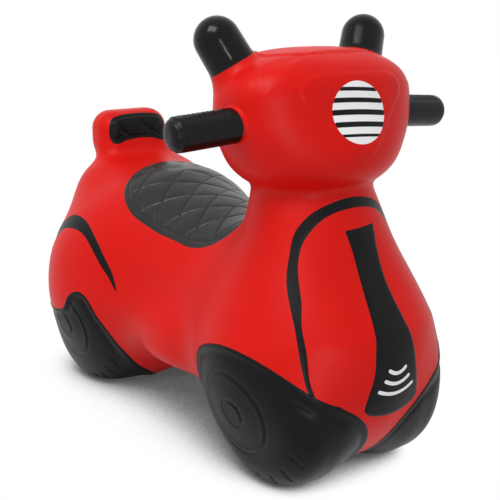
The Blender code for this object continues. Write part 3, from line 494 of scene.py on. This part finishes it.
def refine(form, points, faces, wanted, rounds):
    """Divides edges that are longer than what is wanted where they are."""

    def choose(points, edges):
        ends = points[edges]
        middle = ends.mean(1)
        chosen = np.linalg.norm(ends[:, 0] - ends[:, 1], axis=1) > LONG_EDGE * wanted(middle)
        return chosen, settle(form, middle[chosen], 2)

    for _ in range(rounds):
        points, faces = split(points, faces, choose)
    return points, faces


def shortest_edges(points, faces):
    """Length of the shortest edge at each point, and nought at a point that these faces don't touch."""
    sides = face_sides(faces)
    length = np.linalg.norm(points[sides[:, 0]] - points[sides[:, 1]], axis=1)
    shortest = np.full(len(points), np.inf)
    np.minimum.at(shortest, sides.ravel(), np.repeat(length, 2))
    shortest[np.isinf(shortest)] = 0
    return shortest


def slide_to_line(form, field, spot):
    """Moves points along the form's surface to the line where the field is nought."""
    for _ in range(2):
        slope, out = gradient(field, spot, 0.02), unit(gradient(form, spot))
        slope -= out * (slope * out).sum(1)[:, None]
        size = np.maximum((slope**2).sum(1), 0.2)
        spot = settle(form, spot - slope * (field(spot) / size)[:, None], 1)
    return spot


def crossings(form, field, start, end, low, high):
    """Where edges cross the line, from the field's values at their two ends."""
    left, right = np.zeros(len(start)), np.ones(len(start))
    for _ in range(3):
        share = left + (right - left) * low / (low - high)
        spot = settle(form, start + (end - start) * share[:, None], 1)
        found = field(spot)
        same = found * low > 0
        left, low = np.where(same, share, left), np.where(same, found, low)
        right, high = np.where(same, right, share), np.where(same, high, found)
    return spot


def cut(form, points, faces, field, fixed):
    """Draws the line where the field is nought into the mesh as a row of edges, and fixes its points."""
    value = field(points)
    near = np.abs(value) < CUT_REACH
    shortest = shortest_edges(points, faces[near[faces].any(1)])
    moved = (np.abs(value) < SNAP_SHARE * shortest) & ~fixed
    points[moved] = slide_to_line(form, field, points[moved])
    value = field(points)
    value[moved | (fixed & (np.abs(value) < ON_LINE))] = 0

    def choose(points, edges):
        first, second = value[edges].T
        chosen = first * second < 0
        start, end = points[edges[chosen]].transpose(1, 0, 2)
        return chosen, crossings(form, field, start, end, first[chosen], second[chosen])

    count = len(points)
    points, faces = split(points, faces, choose)
    fixed = np.concatenate([fixed | moved, np.ones(len(points) - count, bool)])
    return points, faces, fixed


# Outlines


def beyond(end, neighbour):
    """The point that a curve comes from beyond its end: the mirrored neighbour on the middle line."""
    return neighbour * (-1, 1) if end[0] == 0 else 2 * end - neighbour


def smooth_curve(points, steps=6):
    """A curve through the points, with the given number of steps between one and the next."""
    points = np.array(points, float)
    ends = np.vstack([beyond(points[0], points[1]), points, beyond(points[-1], points[-2])])
    curve = []
    for index in range(1, len(ends) - 2):
        before, start, end, after = ends[index - 1 : index + 3]
        for t in np.arange(steps) / steps:
            bend = (2 * before - 5 * start + 4 * end - after) * t**2
            twist = (3 * start - before - 3 * end + after) * t**3
            curve.append(0.5 * (2 * start + (end - before) * t + bend + twist))
    curve.append(points[-1])
    return np.array(curve)


def mirrored(half):
    """A half outline from the middle line to the middle line, completed on the other side."""
    return np.vstack([half, half[-2:0:-1] * (-1, 1)])


def line_distance(spots, line, closed=False):
    """Distance from a row of straight pieces, and for a closed one whether each spot is inside."""
    starts, ends = (line, np.roll(line, -1, 0)) if closed else (line[:-1], line[1:])
    best, inside = np.full(len(spots), 1e9), np.zeros(len(spots), bool)
    for start, end in zip(starts, ends):
        way = end - start
        off = spots - start
        share = np.clip(off @ way / max(way @ way, 1e-12), 0, 1)
        best = np.minimum(best, np.hypot(off[:, 0] - share * way[0], off[:, 1] - share * way[1]))
        spans = (start[1] > spots[:, 1]) != (end[1] > spots[:, 1])
        if closed and spans.any():
            cross = start[0] + (spots[:, 1] - start[1]) * way[0] / (way[1] if abs(way[1]) > 1e-12 else 1e-12)
            inside ^= spans & (spots[:, 0] < cross)
    return best, inside


# Which two axes an outline is drawn on, and which one it reaches along
VIEWS = {"top": (0, 1, 2), "front": (0, 2, 1), "side": (1, 2, 0)}
FAR = 14.0  # greatest value of an outline's field, and how far round the outline it is worked out


def outlined(view, outline, low, high):
    """Field of the region inside an outline drawn in one view, between two depths."""
    first, second, along = VIEWS[view]
    outline = np.asarray(outline, float)
    least, most = outline.min(0) - FAR, outline.max(0) + FAR

    def field(p):
        spots = p[:, [first, second]]
        depth = np.maximum(low - p[:, along], p[:, along] - high)
        close = ((spots > least) & (spots < most)).all(1) & (depth < FAR)
        value = np.full(len(p), FAR)
        distance, inside = line_distance(spots[close], outline, closed=True)
        value[close] = np.maximum(np.where(inside, -distance, distance), depth[close])
        return value

    return field


def all_of(*fields):
    """Field of what regions share."""

    def field(p):
        return np.maximum.reduce([each(p) for each in fields])

    return field


def to_side(side, depths):
    """Depths on the left, taken to one side and put in order."""
    return sorted(side * depth for depth in depths)


def inner_edge(side):
    """Field of one side's space, outside the edge between the wheels."""
    edge = smooth_curve(WHEEL_INNER_EDGE, 4)
    low, high = SIDE_HEIGHTS
    top, foot = [(SIDE_REACH, high), (edge[0][0], high)], [(edge[-1][0], low), (SIDE_REACH, low)]
    return outlined("front", np.vstack([top, edge, foot]) * (side, 1), *WHOLE_LENGTH)


def front_wheel_field(side):
    def arc(p):
        centre_y, centre_z = FRONT_COAT_CENTRE
        over = np.hypot(p[:, 1] - centre_y, p[:, 2] - centre_z) - FRONT_COAT_RADIUS
        return overlap(over, p[:, 1] - FRONT_COAT_BACK, FRONT_COAT_ROUNDING)

    return all_of(arc, inner_edge(side))


def rear_wheel_field(side):
    flank = outlined("side", smooth_curve(REAR_WHEEL_OUTLINE, 4), *to_side(side, WHEEL_SIDES))
    return all_of(flank, inner_edge(side))


def stroke(half_width, end_height, sag, width, steps=17):
    """Outline of a smile-shaped line with round ends."""
    across = np.linspace(-half_width + width / 2, half_width - width / 2, steps)
    middle = end_height - sag * (1 - (across / across[-1]) ** 2)
    slope = np.gradient(middle, across)
    side = np.stack([-slope, np.ones(steps)], 1) / np.hypot(slope, 1)[:, None] * width / 2
    line = np.stack([across, middle], 1)
    cap = []
    for centre, start in ((line[-1], side[-1]), (line[0], -side[0])):
        turn = math.atan2(start[1], start[0]) - np.linspace(0, math.pi, 9)[1:-1]
        cap.append(centre + np.stack([np.cos(turn), np.sin(turn)], 1) * width / 2)
    return np.vstack([line + side, cap[0], (line - side)[::-1], cap[1]])


def panel_outline():
    side, top, foot = smooth_curve(PANEL_OUTLINE, 6), PANEL_OUTLINE[0], PANEL_OUTLINE[-1]
    turn = np.linspace(0, math.pi, 33)[1:-1]
    dip = np.stack([foot[0] * np.cos(turn), foot[1] - PANEL_DIP * np.sin(turn)], 1)
    outline = np.vstack([side, dip, side[::-1] * (-1, 1)])
    rise = np.clip((outline[:, 1] - foot[1]) / (top[1] - foot[1]), 0, 1)
    return outline + np.stack([PANEL_LEAN * rise, PANEL_SLANT * rise**SLANT_FADE * outline[:, 0]], 1)


def shield_outline():
    outer, inner = smooth_curve(SHIELD_OUTER), smooth_curve(SHIELD_INNER)
    return np.vstack([outer, (outer[::-1] * (-1, 1))[1:], inner[::-1] * (-1, 1), inner[1:]])


def lamp_outline():
    turn = np.linspace(0, 2 * math.pi, 97)[:-1]
    return LAMP_CENTRE + np.stack([np.cos(turn), np.sin(turn)], 1) * LAMP_HALF


def bar_outline(height, thickness):
    across = np.linspace(-LAMP_BAR_REACH, LAMP_BAR_REACH, 25)
    middle = height + LAMP_BAR_BOW * (1 - (across / LAMP_HALF[0]) ** 2) - math.tan(LAMP_LEAN) * across
    upper, lower = (np.stack([across, middle + rise], 1) for rise in (thickness / 2, -thickness / 2))
    return np.vstack([upper, lower[::-1]])


def from_head(p):
    """Distance from the head or the trunk, whichever is nearer."""
    return np.minimum(head(p), trunk(p))


def limb_field(form, hem, reach, start, side):
    """Field of the grip or horn on one side, down to a hem on the head."""

    def field(p):
        return np.maximum(np.maximum(hem - from_head(p), form(p) - reach), start - side * p[:, 0])

    return field


def zone_fields():
    """Fields of the coats, the uppermost first."""
    fields = {}
    lamp = outlined("front", lamp_outline(), *LAMP_DEPTHS)
    for index, (height, thickness) in enumerate(LAMP_BARS, 1):
        bar = outlined("front", bar_outline(height, thickness), *LAMP_DEPTHS)
        fields[f"headlamp_bar_{index}"] = all_of(lamp, bar)
    fields["headlamp_disc"] = lamp
    for index, (half_width, height, sag) in enumerate(CHEVRONS, 1):
        mark = stroke(half_width, height, sag, CHEVRON_WIDTH)
        fields[f"panel_chevron_{index}"] = outlined("front", mark, *PANEL_DEPTHS)
    fields["front_panel"] = outlined("front", panel_outline(), *PANEL_DEPTHS)
    stripe = np.vstack([smooth_curve(REAR_STRIPE_OUTER), smooth_curve(REAR_STRIPE_INNER)])
    for side, word in ((-1, "right"), (1, "left")):
        fields[f"front_wheel_{word}"] = front_wheel_field(side)
        fields[f"rear_wheel_{word}"] = rear_wheel_field(side)
        fields[f"rear_stripe_{word}"] = outlined("side", stripe, *to_side(side, STRIPE_SIDES))
        fields[f"grip_{word}"] = limb_field(grip, *GRIP_ZONE, side)
        fields[f"mirror_horn_{word}"] = limb_field(horn, *HORN_ZONE, side)
    fields["shield_stripe"] = outlined("front", shield_outline(), *SHIELD_DEPTHS)
    fields["seat_pad"] = outlined("top", mirrored(smooth_curve(SEAT_OUTLINE)), *SEAT_DEPTHS)
    fields["tail_pad"] = outlined("front", mirrored(smooth_curve(TAIL_PAD_OUTLINE)), *TAIL_PAD_DEPTHS)
    return fields


# Relief: how far the surface stands out at each point


def ramp(value, start, end):
    share = np.clip((value - start) / (end - start), 0, 1)
    return share * share * (3 - 2 * share)


def ridge(value, width):
    return np.exp(-((value / width) ** 2))


def ridges(value, *parts):
    """Ridges, and grooves where the height is below nought: place, height and width of each."""
    return sum(height * ridge(value - place, width) for place, height, width in parts)


def quilt_distance(p):
    """How far each point is from the nearest line of stitching on the saddle."""
    across, along = np.abs(p[:, 0]), p[:, 1]
    nearest = np.full(len(p), 1e9)
    for middle in QUILT_LINES:
        for slope in (QUILT_SLOPE, -QUILT_SLOPE):
            nearest = np.minimum(nearest, np.abs(along - middle - slope * across) / math.hypot(1, slope))
    return nearest


def quilting(nearest, inset, edge_height, groove, quilted, puff_height, seam):
    """Puffs between lines of stitching, inside a border with a groove."""
    border = edge_height * ramp(inset, 0, 2) + ridges(inset, groove)
    puffs = puff_height * (1 - ridge(nearest, PUFF_REACH)) + ridges(nearest, seam)
    return border + ramp(inset, *quilted) * puffs


def seat_relief(p, inset):
    return quilting(quilt_distance(p), inset, *SEAT_QUILTING)


def rest_relief(p, inset):
    across, height = np.abs(p[:, 0]), p[:, 2]
    fall = REST_QUILT_TOP - REST_QUILT_SLOPE * across
    rise = REST_QUILT_TOP - REST_QUILT_DROP + REST_QUILT_SLOPE * across
    nearest = np.minimum(np.abs(height - fall), np.abs(height - rise)) / math.hypot(1, REST_QUILT_SLOPE)
    return quilting(nearest, inset, *REST_QUILTING)


def wheel_relief(p, inset, drum, hub, treads):
    """Lip and valley along the border, two hub rings and slanting notches on the shoulder."""
    track, axle_y, radius, _, _ = drum
    axle_z = radius - WHEEL_SINK
    hub_y, hub_z, (small, large) = hub
    across = np.abs(p[:, 0])
    from_hub = np.hypot(p[:, 1] - hub_y, p[:, 2] - hub_z)
    rings = ridges(from_hub - small, *SMALL_RING) + ridges(from_hub - large, *LARGE_RING)
    rings *= ramp(across - track, *RING_FADE) * ramp(inset, *RING_INSET)
    turn = np.arctan2(p[:, 2] - axle_z, p[:, 1] - axle_y)
    out = np.hypot(p[:, 1] - axle_y, p[:, 2] - axle_z)
    first, step, slant, outer, inner = treads
    phase = (turn - first - slant * (outer - across)) / step
    away = (phase - np.round(phase)) * step * out
    shoulder = ramp(across, inner, inner + 4) * (1 - ramp(across, outer, outer + 3))
    crown = ramp(out - radius, *TREAD_FADE) * ramp(inset, *TREAD_INSET)
    notches = -TREAD_DEPTH * ridge(away, TREAD_WIDTH) * shoulder * crown
    lip = LIP_HEIGHT * ramp(inset, 0, 1.5) * (1 - ramp(inset, 3, 6)) + ridges(inset, VALLEY)
    return rings + notches + lip


def grip_relief(p, _):
    """Ribs in a strip along the top, and the groove round the cap."""
    along, aside, length, way = grip_frame(p)
    top = np.array([0, 0, 1.0]) - way * way[2]
    top /= np.linalg.norm(top)
    lean = aside @ top / np.maximum(np.linalg.norm(aside, axis=1), 1e-9)
    first = length - GRIP_RIBS * RIB_PITCH
    strip = ramp(lean, *RIB_STRIP) * ramp(along, first - 1, first) * (1 - ramp(along, length, length + 1))
    ribs = -RIB_HEIGHT * (0.5 + 0.5 * np.cos((along - first) / RIB_PITCH * 2 * math.pi))
    return strip * ribs + ridges(along - length - CAP_RIM, *CAP_GROOVES)


def plate(inset, height, edge=SOFT_EDGE):
    """A raised part with a smooth step along its border."""
    return height * ramp(inset, -edge / 2, edge / 2)


def brow_relief(p):
    """Frame line round the face of the head: a ridge on its inner side and a groove on its outer side."""
    wide, front, low = BROW_LIMITS
    region = (np.abs(p[:, 0]) < wide) & (p[:, 1] < front) & (p[:, 2] > low)
    spots = np.stack([np.abs(p[region, 0]), p[region, 2]], 1)
    distance, _ = line_distance(spots, smooth_curve(BROW_LINE))
    middle, (half_width, half_height) = BROW_FACE
    outside = np.hypot(spots[:, 0] / half_width, (spots[:, 1] - middle) / half_height) > 1
    shade = ramp(spots[:, 1], *BROW_LOW_FADE) * ramp(-p[region, 1], *BROW_BACK_FADE)
    step = ridge(distance, BROW_WIDTH) * np.minimum(distance / BROW_GAP, 1)
    value = np.zeros(len(p))
    value[region] = np.where(outside, -BROW_HEIGHT, BROW_HEIGHT) * step * shade
    return value


def head_relief(p):
    """Raised plate round the lamp, a plate on top, and the frame line round the face."""
    bezel = outlined("front", mirrored(smooth_curve(BEZEL_OUTLINE)), *BEZEL_DEPTHS)
    crown = outlined("top", mirrored(smooth_curve(CROWN_OUTLINE)), *CROWN_DEPTHS)
    return plate(-bezel(p), BEZEL_HEIGHT) + plate(-crown(p), CROWN_HEIGHT, CRISP_EDGE) + brow_relief(p)


def valve_relief(p):
    """Boss in a shallow dish, with the stepped hole for the air plug."""
    out = np.hypot(p[:, 0], p[:, 1] - PLUG_Y)
    under = p[:, 2] < PLUG_CEILING
    flange_wall, stem_wall = FLANGE_RADIUS + PLUG_GAP, STEM_RADIUS + PLUG_GAP
    value = BOSS_DROP * (1 - ramp(out, BOSS_RADIUS, BOSS_RADIUS + 1.2))
    value -= (FLANGE_THICK + PLUG_GAP) * (1 - ramp(out, flange_wall - 0.2, flange_wall + 0.2))
    value -= (STEM_LENGTH + 2) * (1 - ramp(out, stem_wall - 0.2, stem_wall + 0.3))
    dish = DISH_DEPTH * (1 - ramp(out, VALVE_REACH, DISH_RADIUS))
    return np.where(under & (out < VALVE_REACH), value, 0) - np.where(under, dish, 0)


def relief(p, fields):
    value = head_relief(p) + valve_relief(p)
    value += plate(-fields["front_panel"](p) - PANEL_INSET, PANEL_HEIGHT)
    for name in ("shield_stripe", "rear_stripe_left", "rear_stripe_right"):
        value -= plate(-fields[name](p) - STRIPE_INSET, STRIPE_DEPTH, CRISP_EDGE)
    on_coats = {"seat_pad": (seat_relief,), "tail_pad": (rest_relief,)}
    for word in ("left", "right"):
        on_coats[f"front_wheel_{word}"] = (wheel_relief, FRONT_WHEEL, FRONT_HUB, FRONT_TREADS)
        on_coats[f"rear_wheel_{word}"] = (wheel_relief, REAR_WHEEL, REAR_HUB, REAR_TREADS)
        on_coats[f"grip_{word}"] = (grip_relief,)
    for name, (make, *settings) in on_coats.items():
        inset = -fields[name](p)
        on = inset > 0
        value[on] += make(p[on], inset[on], *settings)
    return value


def wanted_edge(fields):
    """How long the mesh edges may be at each point."""
    zones = []
    for name, field in fields.items():
        zones += [(field, edge) for start, edge in ZONE_EDGES.items() if name.startswith(start)]

    def wanted(p):
        size = np.full(len(p), PLAIN_EDGE)
        for field, edge in zones:
            size = np.where(field(p) < 2, np.minimum(size, edge), size)
        size = np.where(p[:, 2] > HEAD_FLOOR, np.minimum(size, HEAD_EDGE), size)
        stitched = (fields["seat_pad"](p) < -3) & (quilt_distance(p) < 3)
        size = np.where(stitched, np.minimum(size, STITCH_EDGE), size)
        valve = (np.hypot(p[:, 0], p[:, 1] - PLUG_Y) < VALVE_REACH) & (p[:, 2] < PLUG_CEILING)
        return np.where(valve, VALVE_EDGE, size)

    return wanted


def vertex_normals(points, faces):
    a, b, c = points[faces].transpose(1, 0, 2)
    flat = np.cross(b - a, c - a)

    def summed(axis):
        return np.bincount(faces.ravel(), weights=np.repeat(flat[:, axis], 3), minlength=len(points))

    return unit(np.stack([summed(axis) for axis in range(3)], 1))


# Pieces


def border_edges(faces):
    """Directed edges that have a face on one side only."""
    sides = face_sides(faces)
    span = int(faces.max()) + 1
    forward, backward = sides[:, 0] * span + sides[:, 1], sides[:, 1] * span + sides[:, 0]
    return sides[~np.isin(forward, backward)]


def add_object(name, data):
    made = bpy.data.objects.new(name, data)
    bpy.context.scene.collection.objects.link(made)
    return made


def make_piece(name, points, faces, normals=None):
    """A smooth object in metres, with the normals of its faces' corners where they are given."""
    used, faces = np.unique(faces, return_inverse=True)
    faces = faces.reshape(-1, 3)
    mesh = bpy.data.meshes.new(name)
    mesh.vertices.add(len(used))
    mesh.vertices.foreach_set("co", (points[used] * MM).astype(np.float32).ravel())
    mesh.loops.add(faces.size)
    mesh.loops.foreach_set("vertex_index", faces.ravel().astype(np.int32))
    mesh.polygons.add(len(faces))
    mesh.polygons.foreach_set("loop_start", np.arange(0, faces.size, 3, dtype=np.int32))
    mesh.update(calc_edges=True)
    mesh.validate()
    mesh.shade_smooth()
    if normals is not None:
        mesh.normals_split_custom_set(normals.reshape(-1, 3))
    return add_object(name, mesh)


def make_shell(name, points, inner, faces, hidden, normals):
    """A closed shell: smooth faces outside, hidden faces inside, and a flat-shaded rim that joins them."""
    count = len(points)
    first, second = border_edges(faces).T
    rim = [np.stack([second, first, first + count], 1), np.stack([second, first + count, second + count], 1)]
    every_point, every_face = np.vstack([points, inner]), np.vstack([faces, hidden + count, *rim])
    a, b, c = every_point[every_face].transpose(1, 0, 2)
    corners = np.repeat(unit(np.cross(b - a, c - a))[:, None], 3, 1)
    corners[: len(faces)] = normals[faces]
    return make_piece(name, every_point, every_face, corners)


def make_coat(name, points, normals, outward, faces):
    """A closed thin coat."""
    return make_shell(name, points, points - outward * COAT_DEPTH, faces, faces[:, ::-1], normals)


def make_skin(name, points, normals, outward, faces, coated):
    """The closed skin, let in under every coat."""
    inner = points - outward * (COAT_DEPTH + COAT_PLAY)
    return make_shell(name, points, inner, faces, coated, normals)


# Materials


def new_node(tree, kind, inputs=None, **settings):
    """A shader node with its settings, and with plain values in its inputs."""
    node = tree.nodes.new(kind)
    for key, value in settings.items():
        setattr(node, key, value)
    for socket, value in (inputs or {}).items():
        node.inputs[socket].default_value = value
    return node


def join(tree, *links):
    """Links shader nodes: each link is a node, its output, the other node and its input."""
    for source, output, target, socket in links:
        tree.links.new(source.outputs[output], target.inputs[socket])


def vinyl(name, colour, deep, roughness, specular, grain, grain_height):
    """Moulded vinyl: slightly uneven colour and gloss, over a fine grain."""
    look = bpy.data.materials.new(name)
    look.use_nodes = True
    tree = look.node_tree
    shader = tree.nodes["Principled BSDF"]
    shader.inputs["Specular IOR Level"].default_value = specular
    place = new_node(tree, "ShaderNodeTexCoord")
    clouds = new_node(tree, "ShaderNodeTexNoise", {"Scale": MOTTLE_SCALE, "Detail": 3})
    fine = new_node(tree, "ShaderNodeTexNoise", {"Scale": grain, "Detail": 4})
    bump = new_node(tree, "ShaderNodeBump", {"Strength": GRAIN_STRENGTH, "Distance": grain_height * MM})
    shades = new_node(tree, "ShaderNodeValToRGB")
    dark, pale = shades.color_ramp.elements
    dark.position, pale.position = MOTTLE_RANGE
    dark.color, pale.color = (*(part * deep for part in colour), 1), (*colour, 1)
    gloss = new_node(tree, "ShaderNodeMapRange", {"From Min": MOTTLE_RANGE[0], "From Max": MOTTLE_RANGE[1]})
    gloss.inputs["To Min"].default_value = roughness - GLOSS_PLAY
    gloss.inputs["To Max"].default_value = roughness + GLOSS_PLAY
    join(
        tree,
        (place, "Object", clouds, "Vector"), (place, "Object", fine, "Vector"),
        (clouds, "Fac", shades, "Fac"), (shades, "Color", shader, "Base Color"),
        (clouds, "Fac", gloss, "Value"), (gloss, "Result", shader, "Roughness"),
        (fine, "Fac", bump, "Height"), (bump, "Normal", shader, "Normal"),
    )
    return look


# The toy


def label_faces(points, faces, fields):
    """Number of the field in whose region each face lies, or -1 for the bare skin."""
    label = np.full(len(faces), -1)
    for index, field in enumerate(fields.values()):
        held = field(points)[faces].sum(1) + field(points[faces].mean(1)) < 0
        label = np.where((label < 0) & held, index, label)
    return label


def build_toy():
    """The skin and the coats, each under the name of its node."""
    fields = zone_fields()
    step = NET_STEP * 1.0
    points, quads = surface_net(toy, NET_LOW, NET_HIGH, step)
    points = relax(toy, settle(toy, points), quads, 4)
    faces = np.vstack([quads[:, [0, 1, 2]], quads[:, [0, 2, 3]]])
    points, faces = refine(toy, points, faces, wanted_edge(fields), 3)
    fixed = np.zeros(len(points), bool)
    for field in fields.values():
        points, faces, fixed = cut(toy, points, faces, field, fixed)
    label = label_faces(points, faces, fields)
    outward = unit(gradient(toy, points))
    shaped = points + outward * relief(points, fields)[:, None]
    shaped[:, 2] = np.maximum(shaped[:, 2], 0)
    normals = vertex_normals(shaped, faces)
    bare, coated = faces[label < 0], faces[label >= 0]
    pieces = {"bladder_skin": make_skin("skin", shaped, normals, outward, bare, coated)}
    for index, name in enumerate(fields):
        pieces[name] = make_coat(f"{name}_coat", shaped, normals, outward, faces[label == index])
    return pieces


def look_of(node):
    return next((look for start, look in LOOK_OF.items() if node.startswith(start)), "black_vinyl")


def make_plug(look):
    """Stem and flange of the air plug, as one turned form."""
    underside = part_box("air_plug")[0][2] / MM
    turn = np.linspace(0, 2 * math.pi, PLUG_SIDES, endpoint=False)
    points, faces = [(0, PLUG_Y, underside - PLUG_SECTION[0][0])], []
    for down, radius in PLUG_SECTION[1:-1]:
        points += [(radius * math.cos(t), PLUG_Y + radius * math.sin(t), underside - down) for t in turn]
    points.append((0, PLUG_Y, underside - PLUG_SECTION[-1][0]))
    last_row = 1 + (len(PLUG_SECTION) - 3) * PLUG_SIDES
    for side in range(PLUG_SIDES):
        after = (side + 1) % PLUG_SIDES
        faces.append((0, 1 + side, 1 + after))
        faces.append((len(points) - 1, last_row + after, last_row + side))
        for row in range(1, last_row, PLUG_SIDES):
            a, b = row + side, row + after
            faces += [(a, a + PLUG_SIDES, b), (b, a + PLUG_SIDES, b + PLUG_SIDES)]
    piece = make_piece("air_plug_moulded", np.array(points, float), np.array(faces))
    piece.data.set_sharp_from_angle(angle=PLUG_SHARP)
    piece.data.materials.append(look)
    return piece


def dress():
    looks = {name: vinyl(name, *settings) for name, settings in VINYLS.items()}
    for node, piece in build_toy().items():
        look = look_of(node)
        piece.data.materials.append(looks[look])
        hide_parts(node)
        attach(piece, "toy")
    plug = make_plug(looks["black_vinyl"])
    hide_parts("air_plug")
    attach(plug, "plug")


# Studio


def seen_directly(tree):
    """One for what the camera sees straight or in a mirror or glass, else nought."""
    paths = new_node(tree, "ShaderNodeLightPath")
    seen = paths.outputs["Is Camera Ray"]
    for kind in ("Is Glossy Ray", "Is Transmission Ray"):
        either = new_node(tree, "ShaderNodeMath", operation="MAXIMUM")
        tree.links.new(seen, either.inputs[0])
        tree.links.new(paths.outputs[kind], either.inputs[1])
        seen = either.outputs[0]
    return seen


def floor_look():
    """White glow in the camera's view, with painted shade where the toy stands near, but plain matt for the
    light.
    """
    look = bpy.data.materials.new("floor")
    look.use_nodes = True
    tree = look.node_tree
    tree.nodes.clear()
    lean = new_node(tree, "ShaderNodeCombineXYZ", dict(enumerate(SHADOW_LEAN)))
    # Painted shadow: the toy's nearness darkens the floor's white glow
    shaded = new_node(tree, "ShaderNodeAmbientOcclusion", {"Distance": SHADOW_REACH}, samples=16)
    level = new_node(tree, "ShaderNodeMapRange", interpolation_type="SMOOTHSTEP")
    level.inputs["From Min"].default_value, level.inputs["From Max"].default_value = SHADOW_RANGE
    level.inputs["To Min"].default_value, level.inputs["To Max"].default_value = SHADOW_LEVEL, 1.0
    white = new_node(tree, "ShaderNodeEmission")
    matt = new_node(tree, "ShaderNodeBsdfDiffuse", {"Color": FLOOR_COLOUR})
    both = new_node(tree, "ShaderNodeMixShader")
    output = new_node(tree, "ShaderNodeOutputMaterial")
    tree.links.new(seen_directly(tree), both.inputs[0])
    join(
        tree,
        (lean, 0, shaded, "Normal"), (shaded, "AO", level, "Value"), (level, "Result", white, "Strength"),
        (matt, 0, both, 1), (white, 0, both, 2), (both, 0, output, "Surface"),
    )
    return look


def make_floor():
    mesh = bpy.data.meshes.new("floor")
    signs = ((-1, -1), (1, -1), (1, 1), (-1, 1))
    mesh.from_pydata([(x * FLOOR_REACH, y * FLOOR_REACH, 0) for x, y in signs], [], [(0, 1, 2, 3)])
    mesh.materials.append(floor_look())
    floor = add_object("floor", mesh)


def make_world():
    world = bpy.data.worlds.new("studio")
    bpy.context.scene.world = world
    world.use_nodes = True
    tree = world.node_tree
    backdrop = tree.nodes["Background"]
    backdrop.inputs["Color"].default_value = (1, 1, 1, 1)
    level = new_node(tree, "ShaderNodeMapRange", {"To Min": WORLD_LEVEL, "To Max": 1.0})
    tree.links.new(seen_directly(tree), level.inputs["Value"])
    tree.links.new(level.outputs["Result"], backdrop.inputs["Strength"])


def add_lamp(name, place, target, size, power, sheen_only):
    lamp = bpy.data.lights.new(name, "AREA")
    lamp.shape = "RECTANGLE"
    lamp.size, lamp.size_y = size
    lamp.energy = power
    made = add_object(name, lamp)
    made.location = place
    made.rotation_euler = (Vector(target) - Vector(place)).to_track_quat("-Z", "Y").to_euler()
    made.visible_diffuse = not sheen_only


def add_camera():
    camera = bpy.data.cameras.new("camera")
    camera.lens, camera.sensor_width = CAMERA_LENS, SENSOR_WIDTH
    made = add_object("camera", camera)
    made.location, made.rotation_euler = CAMERA_PLACE, CAMERA_TURN
    bpy.context.scene.camera = made


def main():
    dress()
    make_floor()
    make_world()
    for name, settings in LAMPS.items():
        add_lamp(name, *settings)
    add_camera()
    bpy.context.scene.view_settings.view_transform = "Standard"


main()
